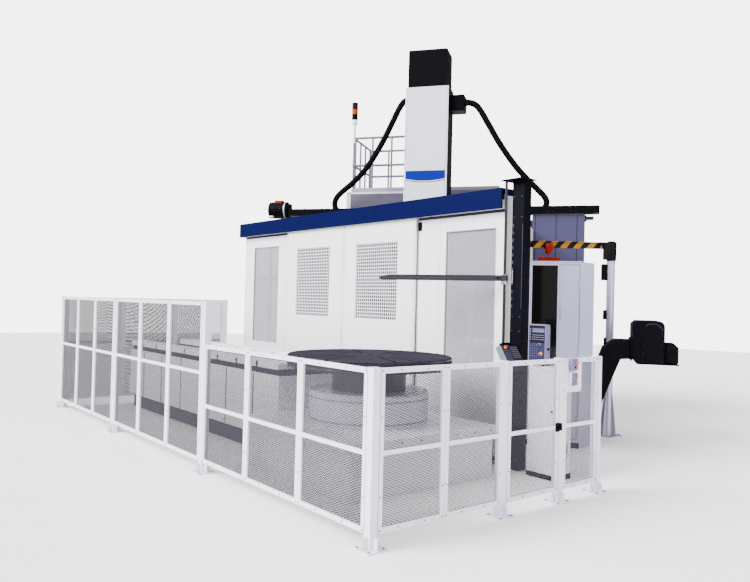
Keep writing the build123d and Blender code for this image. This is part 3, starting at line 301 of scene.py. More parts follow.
def new_group(name, inputs):
    """A shader group with a vector, the given (name, kind, default) inputs, and colour, roughness and height out."""
    group = bpy.data.node_groups.new(name, "ShaderNodeTree")
    for socket_name, kind, default in [("Vector", "Vector", (0, 0, 0)), *inputs]:
        socket = group.interface.new_socket(name=socket_name, in_out="INPUT", socket_type="NodeSocket" + kind)
        socket.default_value = default
    for socket_name, kind in (("Colour", "Color"), ("Roughness", "Float"), ("Height", "Float")):
        group.interface.new_socket(name=socket_name, in_out="OUTPUT", socket_type="NodeSocket" + kind)
    return group, group.nodes.new("NodeGroupInput").outputs


def close_group(group, *results):
    """Links the colour, roughness and height that a group works out to its outputs."""
    sink = group.nodes.new("NodeGroupOutput")
    for socket, result in zip(sink.inputs, results):
        group.links.new(result, socket)
    return group


def node(tree, kind, values, **settings):
    """One node with its settings, and its inputs set from numbers or linked from sockets."""
    made = tree.nodes.new("ShaderNode" + kind)
    for key, value in settings.items():
        setattr(made, key, value)
    for key, value in values.items():
        feed(tree, made.inputs[key], value)
    return made


def mixed(tree, factor, first, second, blend="MIX"):
    """A colour mix of two colours or sockets."""
    values = {0: factor, 6: first, 7: second}
    return node(tree, "Mix", values, data_type="RGBA", blend_type=blend).outputs[2]


def maths(tree, operation, first, second=0.0, third=0.0, clamp=False):
    """One sum of numbers or sockets."""
    return node(tree, "Math", {0: first, 1: second, 2: third}, operation=operation, use_clamp=clamp).outputs[0]


def times(tree, first, second, clamp=False):
    """The product of two numbers or sockets."""
    return maths(tree, "MULTIPLY", first, second, clamp=clamp)


def roughened(group, base, noise, amount):
    """A base roughness, plus the noise's distance from its middle value times an amount."""
    return maths(group, "ADD", base, times(group, maths(group, "SUBTRACT", noise, 0.5), amount), clamp=True)


# The second colour here is a painted reflection: the dark floor mirrored low on glossy walls.
DUST_COLOUR, FLOOR_REFLECTION_COLOUR = (0.33, 0.31, 0.30, 1), (0.26, 0.245, 0.30, 1)
DUST_TOP, REFLECTION_HIGH, REFLECTION_LOW = 0.55, 2.1, 0.9
# Depth below the table's top where the slots' painted shade begins.
SLOT_SHADE_DEPTH = 0.0008


def paint_group():
    """Sprayed enamel: slow drifts of tone, fine orange peel, faint scuffs, dust that gathers near the floor, and a
    painted reflection of the dark floor that darkens the lower part softly towards the floor."""
    group, source = new_group("sprayed_enamel", [
        ("Colour", "Color", (0.8, 0.8, 0.8, 1)), ("Shade", "Color", (0.7, 0.7, 0.7, 1)), ("Drift", "Float", 0.25),
        ("Roughness", "Float", 0.35), ("Dust", "Float", 0.25), ("Painted reflection", "Float", 0.0)])
    place = source["Vector"]
    drift = node(group, "TexNoise", {"Vector": place, "Scale": 1.1, "Detail": 4.0, "Roughness": 0.55}).outputs["Fac"]
    scuff = node(group, "TexNoise", {"Vector": place, "Scale": 26.0, "Detail": 7.0, "Roughness": 0.7}).outputs["Fac"]
    peel = node(group, "TexNoise", {"Vector": place, "Scale": 420.0, "Detail": 2.0}).outputs["Fac"]
    scuffed = node(group, "MapRange", {"Value": scuff, "From Min": 0.58, "From Max": 0.8}).outputs[0]
    height = node(group, "SeparateXYZ", {"Vector": place}).outputs["Z"]
    low = node(group, "MapRange", {"Value": height, "From Min": DUST_TOP, "From Max": 0.0}).outputs[0]
    dust = times(group, times(group, low, source["Dust"]), maths(group, "ADD", drift, 0.35), clamp=True)
    # Painted reflection of the dark floor: full from 0.9 m down, fading out by 2.1 m.
    foot = node(group, "MapRange", {"Value": height, "From Min": REFLECTION_HIGH, "From Max": REFLECTION_LOW},
                interpolation_type="SMOOTHSTEP").outputs[0]
    toned = mixed(group, times(group, drift, source["Drift"]), source["Colour"], source["Shade"])
    scuffs = mixed(group, times(group, scuffed, 0.12), toned, source["Shade"])
    dusty = mixed(group, dust, scuffs, DUST_COLOUR)
    with_floor_reflection = mixed(group, times(group, foot, source["Painted reflection"]), dusty, FLOOR_REFLECTION_COLOUR)
    return close_group(group, with_floor_reflection, roughened(group, source["Roughness"], scuff, 0.22), peel)


def grain_group():
    """Drawn or ground metal: noise pulled out along one axis, with soft blotches of oil."""
    group, source = new_group("drawn_grain", [
        ("Colour", "Color", (0.5, 0.5, 0.5, 1)), ("Stretch", "Vector", (60, 60, 2)), ("Roughness", "Float", 0.3),
        ("Blotch", "Float", 0.3)])
    place = source["Vector"]
    pulled = node(group, "VectorMath", {0: place, 1: source["Stretch"]}, operation="MULTIPLY").outputs[0]
    grain = node(group, "TexNoise", {"Vector": pulled, "Scale": 6.0, "Detail": 6.0, "Roughness": 0.65}).outputs["Fac"]
    oil = node(group, "TexNoise", {"Vector": place, "Scale": 3.5, "Detail": 5.0, "Roughness": 0.6}).outputs["Fac"]
    toned = mixed(group, times(group, oil, source["Blotch"]), source["Colour"], (0.05, 0.05, 0.055, 1))
    lined = mixed(group, times(group, grain, 0.25), toned, (0.9, 0.9, 0.92, 1), "OVERLAY")
    return close_group(group, lined, roughened(group, source["Roughness"], grain, 0.3), grain)


def facing_group():
    """A faced plate: fine rings about the plate's own axis, wider bands where the cut changed, rubbed patches, and
    painted shade in the slots, near black where the surface lies below the top and inside the rim."""
    group, source = new_group("faced_rings", [
        ("Colour", "Color", (0.2, 0.2, 0.22, 1)), ("Pitch", "Float", 0.004), ("Roughness", "Float", 0.3),
        ("Top", "Float", 1.3942), ("Rim", "Float", 0.985)])
    parts = node(group, "SeparateXYZ", {"Vector": source["Vector"]}).outputs
    sunk = maths(group, "LESS_THAN", parts["Z"], source["Top"])
    reach = maths(group, "SQRT", maths(group, "ADD", maths(group, "POWER", parts["X"], 2.0),
                                       maths(group, "POWER", parts["Y"], 2.0)))
    wave = maths(group, "SINE", maths(group, "DIVIDE", times(group, reach, 6.2832), source["Pitch"]))
    bands = node(group, "TexNoise", {"W": times(group, reach, 9.0), "Scale": 1.0, "Detail": 3.0},
                 noise_dimensions="1D").outputs["Fac"]
    rubbed = node(group, "TexNoise", {"Vector": source["Vector"], "Scale": 5.0, "Detail": 8.0,
                                      "Roughness": 0.7}).outputs["Fac"]
    toned = mixed(group, times(group, bands, 0.6), source["Colour"], (0.030, 0.027, 0.036, 1))
    worn = mixed(group, times(group, rubbed, 0.35), toned, (0.006, 0.006, 0.008, 1))
    # Painted shade: the slots, below the top and inside the rim, are coloured near black.
    slot_shade = times(group, sunk, maths(group, "LESS_THAN", reach, source["Rim"]))
    return close_group(group, mixed(group, slot_shade, worn, (0.002, 0.002, 0.003, 1)),
                       roughened(group, source["Roughness"], rubbed, 0.4), times(group, wave, 0.5))


GROUP_MAKERS = {"paint": paint_group, "grain": grain_group, "facing": facing_group}
GROUPS, FINISHES = {}, {}


def surface_shader(name, **plain):
    """A material with one Principled shader, its plain values set on the shader's own sockets."""
    material = bpy.data.materials.new(name)
    material.use_nodes = True
    shader = material.node_tree.nodes["Principled BSDF"]
    for key, value in plain.items():
        shader.inputs[key.replace("_", " ")].default_value = value
    FINISHES[name] = material
    return material.node_tree, shader


def placed(tree, centre=(0, 0, 0), turn=0.0):
    """Object coordinates moved to a centre and turned about Z."""
    coordinates = tree.nodes.new("ShaderNodeTexCoord").outputs["Object"]
    if not any(centre) and not turn:
        return coordinates
    moved = node(tree, "VectorMath", {0: coordinates, 1: tuple(-value for value in centre)}, operation="ADD")
    return node(tree, "Mapping", {"Vector": moved.outputs[0], "Rotation": (0, 0, -turn)}).outputs[0]


def grouped(tree, shader, group, values, bump, distance):
    """Places a shared group, made the first time, and links its colour, roughness and height to the shader."""
    if group not in GROUPS:
        GROUPS[group] = GROUP_MAKERS[group]()
    made = tree.nodes.new("ShaderNodeGroup")
    made.node_tree = GROUPS[group]
    for key, value in values.items():
        feed(tree, made.inputs[key], value)
    tree.links.new(made.outputs["Colour"], shader.inputs["Base Color"])
    tree.links.new(made.outputs["Roughness"], shader.inputs["Roughness"])
    if bump:
        relief = node(tree, "Bump", {"Height": made.outputs["Height"], "Strength": bump, "Distance": distance})
        tree.links.new(relief.outputs[0], shader.inputs["Normal"])
    return made


# foot is the weight of a painted reflection of the dark floor on the lower part.
def paint(name, colour, shade, rough=0.35, drift=0.3, dust=0.2, bump=0.12, coat=0.15, gloss=0.5, foot=0.0):
    """Enamel in one colour that drifts towards a second."""
    tree, shader = surface_shader(name, Coat_Weight=coat, Coat_Roughness=0.12, Specular_IOR_Level=gloss)
    grouped(tree, shader, "paint", {"Vector": placed(tree), "Colour": srgb(*colour), "Shade": srgb(*shade),
                                    "Drift": drift, "Roughness": rough, "Dust": dust, "Painted reflection": foot}, bump, 0.0006)


def metal(name, colour, rough, stretch=(60, 60, 2), blotch=0.3, metallic=1.0, turn=0.0, bump=0.08):
    """Bare metal with its grain along one axis."""
    tree, shader = surface_shader(name, Metallic=metallic)
    grouped(tree, shader, "grain", {"Vector": placed(tree, turn=turn), "Colour": srgb(*colour), "Stretch": stretch,
                                    "Roughness": rough, "Blotch": blotch}, bump, 0.0004)


def faced(name, colour, rough, centre=(0, 0, 0), **values):
    """A faced iron plate with its rings about a centre."""
    tree, shader = surface_shader(name, Metallic=0.0, Specular_IOR_Level=0.0)
    grouped(tree, shader, "facing", {"Vector": placed(tree, centre), "Colour": srgb(*colour), "Pitch": 0.006,
                                     "Roughness": rough, **values}, 0.25, 0.0004)


def hazed(name, scale, detail, first, second, **plain):
    """A plain surface whose colour drifts between two colours."""
    tree, shader = surface_shader(name, **plain)
    haze = node(tree, "TexNoise", {"Vector": placed(tree), "Scale": scale, "Detail": detail})
    tree.links.new(mixed(tree, haze.outputs["Fac"], first, second), shader.inputs["Base Color"])


def striped(name, pitch):
    """Yellow and black stripes that lean across the crane's beam, and plain black round its pivot."""
    tree, shader = surface_shader(name, Specular_IOR_Level=0.06)
    parts = node(tree, "SeparateXYZ", {"Vector": placed(tree, tuple(JIB_AT), BEAM_TURN)}).outputs
    slant = maths(tree, "ADD", parts["X"], times(tree, parts["Z"], 0.85))
    yellow = maths(tree, "GREATER_THAN", maths(tree, "FRACT", maths(tree, "DIVIDE", slant, pitch)), 0.5)
    shown = times(tree, yellow, maths(tree, "GREATER_THAN", parts["X"], 0.15))
    made = grouped(tree, shader, "paint", {"Vector": placed(tree), "Drift": 0.4, "Roughness": 0.38, "Dust": 0.0},
                   0.1, 0.0006)
    tree.links.new(mixed(tree, shown, srgb(8, 7, 9), srgb(156, 108, 0)), made.inputs["Colour"])
    tree.links.new(mixed(tree, shown, srgb(5, 5, 6), srgb(126, 84, 0)), made.inputs["Shade"])


def make_finishes(colours):
    """Every material of the mill, from the colours that the panel holds."""
    paint("white_enamel", (246, 246, 250), (224, 224, 236), 0.32, 0.35, 0.15)
    # Painted shade: the fence's white paint is given a darker lilac grey than white_enamel, for the lilac shade on the
    # fence.
    paint("fence_enamel", (222, 218, 234), (206, 202, 222), 0.34, 0.35, 0.1)
    # The wall's last value, 0.42, paints the dark floor's reflection on its lower part.
    paint("wall_enamel", (240, 238, 240), (226, 224, 230), 0.26, 0.4, 0.1, 0.06, 0.3, 0.5, 0.42)
    paint("machine_enamel", (54, 51, 80), (44, 41, 68), 0.42, 0.4, 0.1, 0.12, 0.0, 0.3)
    paint("ram_enamel", (206, 206, 218), (186, 186, 202), 0.32, 0.4, 0.0)
    paint("hood_enamel", (84, 79, 96), (68, 64, 80), 0.42, 0.5, 0.0, 0.12, 0.0, 0.3)
    paint("fascia_enamel", (0, 4, 52), (0, 3, 44), 0.45, 0.4, 0.0, 0.06, 0.0, 0.04)
    paint("navy_enamel", (5, 4, 14), (3, 3, 9), 0.5, 0.5, 0.0, 0.08, 0.0, 0.04)
    paint("cabinet_enamel", (170, 168, 196), (154, 152, 182), 0.38, 0.4, 0.1, 0.12, 0.0, 0.4)
    paint("charcoal_enamel", (6, 6, 12), (4, 4, 8), 0.5, 0.6, 0.0, 0.12, 0.0, 0.04)
    paint("black_enamel", (5, 5, 9), (3, 3, 6), 0.5, 0.6, 0.0, 0.12, 0.0, 0.03)
    paint("red_enamel", (124, 5, 0), (98, 3, 0), 0.5, 0.4, 0.0, 0.12, 0.0, 0.06)
    paint("blue_plate", (3, 22, 118), (2, 16, 96), 0.36, 0.3, 0.0, 0.12, 0.0, 0.15)
    paint("lilac_plastic", (104, 102, 134), (88, 86, 118), 0.45, 0.4, 0.0, 0.05, 0.0, 0.3)
    paint("console_navy", (10, 11, 28), (7, 8, 20), 0.42, 0.5, 0.0, 0.05, 0.0, 0.15)
    paint("key_grey", (100, 99, 120), (84, 83, 104), 0.5, 0.3, 0.0, 0.05, 0.0)
    paint("key_dark", (18, 17, 28), (13, 12, 21), 0.5, 0.3, 0.0, 0.05, 0.0, 0.3)
    paint("stop_red", (188, 14, 6), (150, 8, 4), 0.28, 0.3, 0.0, 0.0, 0.1)
    paint("stop_yellow", (240, 170, 12), (214, 140, 8), 0.35, 0.3, 0.0, 0.0, 0.05)
    paint("amber_lens", (150, 60, 0), (112, 36, 0), 0.3, 0.3, 0.0, 0.0, 0.0, 0.1)
    paint("dark_red_lens", (40, 4, 3), (26, 3, 2), 0.3, 0.3, 0.0, 0.0, 0.0, 0.06)
    paint("rubber_black", (7, 6, 9), (5, 4, 7), 0.6, 0.5, 0.0, 0.1, 0.0, 0.12)
    paint("hose_black", (6, 6, 9), (4, 4, 6), 0.55, 0.5, 0.0, 0.1, 0.0, 0.03)
    paint("gasket_grey", (150, 148, 160), (130, 128, 142), 0.5, 0.4, 0.0, 0.05, 0.0, 0.2)
    paint("navy_bolt", (40, 39, 52), (28, 27, 38), 0.4, 0.4, 0.0, 0.05, 0.0, 0.3)
    paint("platform_enamel", (142, 139, 156), (122, 118, 138), 0.42, 0.5, 0.0, 0.12, 0.0, 0.3)
    paint("key_light", (70, 74, 112), (56, 60, 96), 0.45, 0.3, 0.0, 0.05, 0.0)
    paint("panel_blue", (26, 29, 62), (20, 22, 50), 0.45, 0.4, 0.0, 0.05, 0.0, 0.3)
    paint("seam_grey", (46, 44, 58), (36, 34, 46), 0.5, 0.4, 0.0, 0.05, 0.0, 0.2)
    # Painted shade: a near-black backing behind the door screens, for the dark inside of the machine.
    paint("screen_painted_shade", (14, 12, 22), (9, 8, 15), 0.6, 0.5, 0.0, 0.05, 0.0, 0.2)
    # Painted shade: the white mesh's strands are coloured dark grey, so the panels look as dark as the shade behind
    # them.
    paint("mesh_painted_shade", (34, 32, 42), (28, 26, 35), 0.45, 0.4, 0.0, 0.1, 0.0, 0.25)
    paint("screen_grey", (226, 224, 232), (206, 203, 216), 0.34, 0.4, 0.0)
    metal("ground_steel", (176, 176, 184), 0.24, (60, 60, 2), 0.25)
    metal("arm_steel", (14, 11, 26), 0.36, (4, 60, 60), 0.3, 0.4, ARM_TURN)
    metal("rod_steel", (40, 37, 46), 0.28, (60, 60, 2), 0.3, 0.8)
    metal("tube_silver", (170, 170, 188), 0.36, (40, 40, 4), 0.25, 0.45)
    metal("rail_steel", (98, 95, 112), 0.34, (40, 40, 4), 0.25, 0.35)
    metal("bolt_zinc", (150, 150, 158), 0.34, (40, 40, 40), 0.4)
    metal("dark_iron", (48, 46, 56), 0.42, (20, 20, 20), 0.5, 0.7)
    # Both faced irons paint near-black shade into their slots.
    faced("faced_iron", (50, 46, 56), 0.38)
    faced("inner_faced_iron", (104, 100, 112), 0.34, tuple(MACHINE_ORIGIN),
          Top=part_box("inner_table")[1][2] - SLOT_SHADE_DEPTH)
    striped("hazard_stripes", colours.stripe_pitch)
    hazed("window_pane", 1.4, 3.0, srgb(224, 221, 232), srgb(206, 203, 216), Roughness=0.05, IOR=1.45,
          Transmission_Weight=0.72)
    # Smoked glass whose near-black colour also paints the shade inside the cabinet.
    hazed("smoked_pane_painted_shade", 3.0, 3.0, srgb(7, 5, 6), srgb(13, 11, 12), Roughness=0.1, IOR=1.45, Coat_Weight=0.15)
    hazed("display_glass", 30.0, 2.0, srgb(70, 73, 104), srgb(92, 95, 126), Roughness=0.15, Coat_Weight=0.6)
    hazed("studio_floor", 0.4, 2.0, (0.86, 0.86, 0.87, 1), (0.9, 0.9, 0.91, 1), Roughness=0.7)


NODE_FINISH = {
    "white_enamel": ("bed_covers", "pedestal", "station_base"),
    "fence_enamel": ("fence_frames", "fence_posts", "gate_frame"),
    "ram_enamel": ("ram_cover", "station_drum"),
    "wall_enamel": ("door_left", "door_right", "enclosure_left", "enclosure_right", "wall_beams", "wall_posts",
                    "wall_side_panels"),
    "machine_enamel": ("column_left", "column_right", "crossrail", "machine_bed", "rear_bridge", "saddle"),
    "hood_enamel": ("top_hood",),
    "platform_enamel": ("platform",),
    "fascia_enamel": ("fascia",),
    "navy_enamel": ("pillar",),
    "cabinet_enamel": ("cabinet_door", "tool_cabinet"),
    "charcoal_enamel": ("conveyor_head", "conveyor_trough", "transfer_bed"),
    "black_enamel": ("cable_box", "cable_tray", "ram_cap", "tray_motor"),
    "red_enamel": ("jib_trolley",),
    "console_navy": ("desk", "operator_panel"),
    "lilac_plastic": ("switch_box",),
    "hose_black": ("hose_left", "hose_right"),
    "mesh_painted_shade": ("fence_mesh", "gate_mesh"),
    "screen_grey": ("door_left_screen", "door_right_screen"),
    "ground_steel": ("door_rail", "ram_bar", "gauge_collar"),
    "arm_steel": ("gauge_arm",),
    "rod_steel": ("gauge_rod",),
    "tube_silver": ("jib_post",),
    "rail_steel": ("platform_railing",),
    "dark_iron": ("table_neck",),
    "faced_iron": ("front_table",),
    "inner_faced_iron": ("inner_table",),
    "hazard_stripes": ("jib_beam",),
    "window_pane": ("wall_windows",),
    "smoked_pane_painted_shade": ("cabinet_window",),
    "dark_red_lens": ("signal_lamp",),
}


# Settings that the panel shows

class MillSizes(bpy.types.PropertyGroup):
    """Sizes that a user would change."""
    mesh_long: FloatProperty(name="Mesh long way", description="Width of one diamond of the fence's mesh",
                             default=0.0508, min=0.02, max=0.2, unit="LENGTH")
    mesh_short: FloatProperty(name="Mesh short way", description="Height of one diamond of the fence's mesh",
                              default=0.022, min=0.01, max=0.1, unit="LENGTH")
    strand_width: FloatProperty(name="Strand width", description="Width of one strand of the mesh",
                                default=0.0066, min=0.001, max=0.01, unit="LENGTH")
    strand_thickness: FloatProperty(name="Strand thickness", description="Thickness of the mesh's sheet",
                                    default=0.0016, min=0.0005, max=0.005, unit="LENGTH")
    screen_columns: IntProperty(name="Screen columns", description="Holes across one door screen", default=20,
                                min=4, max=60)
    screen_rows: IntProperty(name="Screen rows", description="Holes up one door screen", default=22, min=4, max=60)
    hose_diameter: FloatProperty(name="Hose diameter", description="Outside of the two supply hoses",
                                 default=0.117, min=0.02, max=0.12, unit="LENGTH")
    rib_pitch: FloatProperty(name="Hose rib pitch", description="Distance from one rib of a hose to the next",
                             default=0.016, min=0.005, max=0.05, unit="LENGTH")


class MillColours(bpy.types.PropertyGroup):
    """Colours and pattern sizes that a user would change."""
    backdrop: FloatVectorProperty(name="Backdrop", description="Colour of the studio around the mill",
                                  default=(1.0, 1.0, 1.0), subtype="COLOR", min=0, max=1)
    stripe_pitch: FloatProperty(name="Stripe pitch", description="Length of one yellow and black pair on the crane",
                                default=0.21, min=0.05, max=0.5, unit="LENGTH")


# Pieces

CAMERA_AT = (6.74, -5.41, 2.05)
CAMERA_HEADING, CAMERA_PITCH, CAMERA_ROLL = 50.949, 0.821, 1.440
CAMERA_LENS = 33.93
SKY, SEEN_SKY = 0.42, 5.6
# Soft lights far away: name, the direction they come from, their softness in radians and their strength
SUNS = (("key", (-0.30, -0.80, 0.52), 0.7, 11.5), ("fill", (0.90, -0.25, 0.35), 0.8, 3.0),
        ("top", (0.05, -0.1, 1.0), 1.2, 3.4))


class MILL_OT_stage(bpy.types.Operator):
    """Floor, soft lights and the camera at the photograph's place"""
    bl_idname = "mill.stage"
    bl_label = "Stage"

    def execute(self, context):
        heading, pitch, roll = (math.radians(value) for value in (CAMERA_HEADING, CAMERA_PITCH, CAMERA_ROLL))
        forward = Vector((-math.sin(heading) * math.cos(pitch), math.cos(heading) * math.cos(pitch), math.sin(pitch)))
        right = forward.cross(Vector(UP)).normalized()
        up = right.cross(forward)
        tilted = right * math.cos(roll) + up * math.sin(roll)
        upright = tilted.cross(forward)
        data = bpy.data.cameras.new("camera")
        data.sensor_fit, data.sensor_width, data.lens = "HORIZONTAL", 36.0, CAMERA_LENS
        data.clip_start, data.clip_end = 0.05, 100.0
        camera = bpy.data.objects.new("camera", data)
        context.scene.collection.objects.link(camera)
        turn = Matrix((tilted, upright, -forward)).transposed().to_4x4()
        camera.matrix_world = Matrix.Translation(CAMERA_AT) @ turn
        context.scene.camera = camera

        for name, source, softness, strength in SUNS:
            lamp = bpy.data.lights.new(name, "SUN")
            lamp.angle, lamp.energy = softness, strength
            holder = bpy.data.objects.new(name, lamp)
            holder.rotation_euler = Vector(source).to_track_quat("Z", "Y").to_euler()
            context.scene.collection.objects.link(holder)
        world = context.scene.world or bpy.data.worlds.new("studio")
        context.scene.world = world
        world.use_nodes = True
        tree = world.node_tree
        back = tree.nodes["Background"]
        back.inputs["Color"].default_value = (*context.scene.mill_colours.backdrop, 1)
        seen = tree.nodes.new("ShaderNodeLightPath").outputs["Is Camera Ray"]
        tree.links.new(maths(tree, "MULTIPLY_ADD", seen, SEEN_SKY - SKY, SKY), back.inputs["Strength"])

        turn = np.linspace(0, 2 * np.pi, 64, endpoint=False)
        reach = np.array([0.0001, 12.0, 30.0])
        grid = np.stack([reach[:, None] * np.cos(turn) - 2.5, reach[:, None] * np.sin(turn) + 1.0,
                         np.zeros((3, 64)) - 0.001], -1)
        points, faces = rings(grid[None], caps=False)
        mesh = bpy.data.meshes.new("studio_floor")
        mesh.from_pydata(points.tolist(), [], faces[0].tolist())
        mesh.materials.append(FINISHES["studio_floor"])
        floor = bpy.data.objects.new("studio_floor", mesh)
        context.scene.collection.objects.link(floor)
        return {"FINISHED"}


class MILL_OT_finishes(bpy.types.Operator):
    """Gives every solid of the frame its material"""
    bl_idname = "mill.finishes"
    bl_label = "Finishes"

    def execute(self, context):
        make_finishes(context.scene.mill_colours)
        done = set()
        for name, node_names in NODE_FINISH.items():
            for node_name in node_names:
                mesh = NODES[node_name].data
                mesh.materials.clear()
                mesh.materials.append(FINISHES[name])
                done.add(node_name)
        if done != set(NODES):
            raise RuntimeError(f"no finish for {sorted(set(NODES) - done)}")
        return {"FINISHED"}


RIB_DEPTH = 0.0022
HOSE_ROUTES = {
    "right_hose": ("hose_right", [
        (0.171, -0.050, 5.790), (0.300, -0.050, 5.790), (0.430, -0.045, 5.690), (0.590, -0.020, 5.410),
        (0.830, 0.060, 4.990), (1.120, 0.180, 4.590), (1.370, 0.280, 4.330), (1.560, 0.345, 4.150),
        (1.665, 0.375, 4.030), (1.672, 0.375, 3.905), (1.575, 0.375, 3.812), (1.420, 0.375, 3.811)]),
    "left_hose": ("hose_left", [
        (-0.911, 0.080, 5.940), (-1.020, 0.080, 5.940), (-1.130, 0.085, 5.790), (-1.270, 0.100, 5.500),
        (-1.500, 0.150, 5.080), (-1.800, 0.210, 4.650), (-2.080, 0.270, 4.400), (-2.310, 0.330, 4.250),
        (-2.450, 0.365, 4.140), (-2.510, 0.375, 4.010), (-2.475, 0.375, 3.880), (-2.370, 0.375, 3.812),
        (-2.200, 0.375, 3.811)]),
}


def route_line(name, route):
    """The smooth line of a route: a NURBS curve with the route's points as control points, read as evenly spaced
    points along its length."""
    curve = bpy.data.curves.new(name, "CURVE")
    curve.dimensions = "3D"
    spline = curve.splines.new("NURBS")
    spline.points.add(len(route) - 1)
    for point, place in zip(spline.points, route):
        point.co = (*place, 1.0)
    spline.order_u = 3
    spline.use_endpoint_u = True
    curve.resolution_u = 24
    holder = bpy.data.objects.new(name, curve)
    bpy.context.scene.collection.objects.link(holder)
    bpy.context.view_layer.update()
    line_mesh = bpy.data.meshes.new_from_object(holder)
    line = np.empty(len(line_mesh.vertices) * 3)
    line_mesh.vertices.foreach_get("co", line)
    bpy.data.objects.remove(holder)
    bpy.data.meshes.remove(line_mesh)
    return line.reshape(-1, 3)


def along_line(line, distances):
    """Points at given distances along a line, by straight interpolation between its own points."""
    gone = np.concatenate([[0], np.cumsum(np.linalg.norm(np.diff(line, axis=0), axis=1))])
    return np.stack([np.interp(distances, gone, line[:, axis]) for axis in range(3)], 1), gone[-1]


class MILL_OT_hoses(bpy.types.Operator):
    """Two ribbed supply hoses from the ram's head to the cable tray"""
    bl_idname = "mill.hoses"
    bl_label = "Hoses"

    def execute(self, context):
        sizes = context.scene.mill_sizes
        for name, (solid, route) in HOSE_ROUTES.items():
            route, _ = in_machine((np.array(route), []))
            line = route_line(name, route)
            length = along_line(line, [0])[1]
            count = int(length / sizes.rib_pitch) * 4
            path, _ = along_line(line, np.linspace(0, length, count + 1))
            wave = np.cos(np.arange(count + 1) * np.pi / 2)
            radius = sizes.hose_diameter / 2 - RIB_DEPTH + RIB_DEPTH * wave
            hose = put(name, [("hose_black", [tube(path, radius, 20)])], "mill", 60)
            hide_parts(solid)
        return {"FINISHED"}


def panel_spans(start, end, count):
    """Equal panels between two posts, with a narrow joint between them."""
    width = (end - start - (count - 1) * PANEL_JOINT) / count
    return [(start + index * (width + PANEL_JOINT), start + index * (width + PANEL_JOINT) + width)
            for index in range(count)]


RUNS = {
    "mesh_front_left": (panel_spans(FENCE_LEFT + POST, -3.98, 3), "x", FENCE_FRONT, 1, TALL_H, 1.160),
    "mesh_front_middle": (panel_spans(-3.90, -0.97, 3), "x", FENCE_FRONT, 1, TALL_H, 1.160),
    "mesh_front_right": (panel_spans(-0.89, 2.16, 3), "x", FENCE_FRONT, 1, LOW_H, 0.790),
    "mesh_right": (panel_spans(-1.67, -0.145, 2) + panel_spans(0.83, 1.43, 1), "y", FENCE_RIGHT, -1, LOW_H, 0.790),
    "mesh_left": (panel_spans(-1.67, 1.43, 3), "y", FENCE_LEFT, 1, TALL_H, 1.160),
    "mesh_gate": ([(-0.055, 0.740)], "y", FENCE_RIGHT, -1, LOW_H, 0.790),
}


def expanded_sheet(low, high, bottom, top, sizes):
    """Expanded metal in a plane of u and z. Each strand is a flat bar that climbs half a diamond over half a width:
    a row's line is a triangle wave of u, odd rows start half a width later, and rows touch at the wave's crests."""
    half_long = (high - low) / max(1, round((high - low) / (sizes.mesh_long / 2)))
    half_short = (top - bottom) / max(1, round((top - bottom) / (sizes.mesh_short / 2)))
    columns, rows = round((high - low) / half_long) + 1, round((top - bottom) / half_short)
    row, column = np.meshgrid(np.arange(rows), np.arange(columns), indexing="ij")
    crest = (row + column) % 2
    width, thick = sizes.strand_width, sizes.strand_thickness
    u = low + column * half_long
    z = bottom + (row + crest) * half_short + np.where(crest, -0.5, 0.5) * width
    lift = np.where(crest, 0.4, -0.4) * thick
    corner_z = np.array([0.5, 0.5, -0.5, -0.5]) * width
    corner_n = np.array([-0.5, 0.5, 0.5, -0.5]) * thick + np.array([0.6, 0.6, -0.6, -0.6]) * thick
    grid = np.stack(np.broadcast_arrays(u[..., None], z[..., None] + corner_z, lift[..., None] + corner_n), -1)
    return rings(grid)


class MILL_OT_mesh(bpy.types.Operator):
    """Expanded metal in every fence panel and in the gate"""
    bl_idname = "mill.mesh"
    bl_label = "Expanded Mesh"

    def execute(self, context):
        sizes = context.scene.mill_sizes
        for name, (spans, along, face, inward, height, _) in RUNS.items():
            shapes = []
            for low, high in spans:
                across = low + PANEL_FRAME - MESH_LAP, high - PANEL_FRAME + MESH_LAP
                upward = PANEL_GAP + PANEL_FRAME - MESH_LAP, height - FRAME_TOP - PANEL_FRAME + MESH_LAP
                if name == "mesh_left":
                    # Upright diamonds here, so that this run draws no wavy bands with the front run before it.
                    points, faces = expanded_sheet(*upward, *across, sizes)
                    points, faces = points[:, [1, 0, 2]], [face_rows[:, ::-1] for face_rows in faces]
                else:
                    points, faces = expanded_sheet(*across, *upward, sizes)
                depth = face + inward * MESH_DEPTH + points[:, 2]
                if along == "x":
                    points = np.stack([points[:, 0], depth, points[:, 1]], 1)
                    faces = [face_rows[:, ::-1] for face_rows in faces]
                else:
                    points = np.stack([depth, points[:, 0], points[:, 1]], 1)
                shapes.append((points, faces))
            body = "gate" if name == "mesh_gate" else "mill"
            # The strands carry painted shade: dark grey in place of their white paint.
            piece = put(name, [("mesh_painted_shade", shapes)], body, 20)
            if name == "mesh_gate":
                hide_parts("gate_mesh")
            elif name == "mesh_left":
                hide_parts("fence_mesh")
        return {"FINISHED"}


def outward(along, face):
    """The direction out of the fence for one of its runs."""
    if along == "x":
        return FRONT
    return RIGHT if face == FENCE_RIGHT else LEFT


def on_run(along, face, u, z, out=0.0):
    """Points on a run's outer face, from their places along it and their heights."""
    direction = outward(along, face)
    u, z = np.broadcast_arrays(np.asarray(u, float), np.asarray(z, float))
    level = np.full(u.shape, face, float)
    if along == "x":
        return np.stack([u, level + direction[1] * out, z], -1).reshape(-1, 3)
    return np.stack([level + direction[0] * out, u, z], -1).reshape(-1, 3)


POST_PLACES = [(-6.70, -1.71), (-3.94, -1.71), (-0.93, -1.71), (-6.70, 1.47),
               (2.20, -1.71), (2.20, -0.105), (2.20, 0.79), (2.20, 1.47)]
FOOT_BOLT = 0.078
SEAM = 0.0045


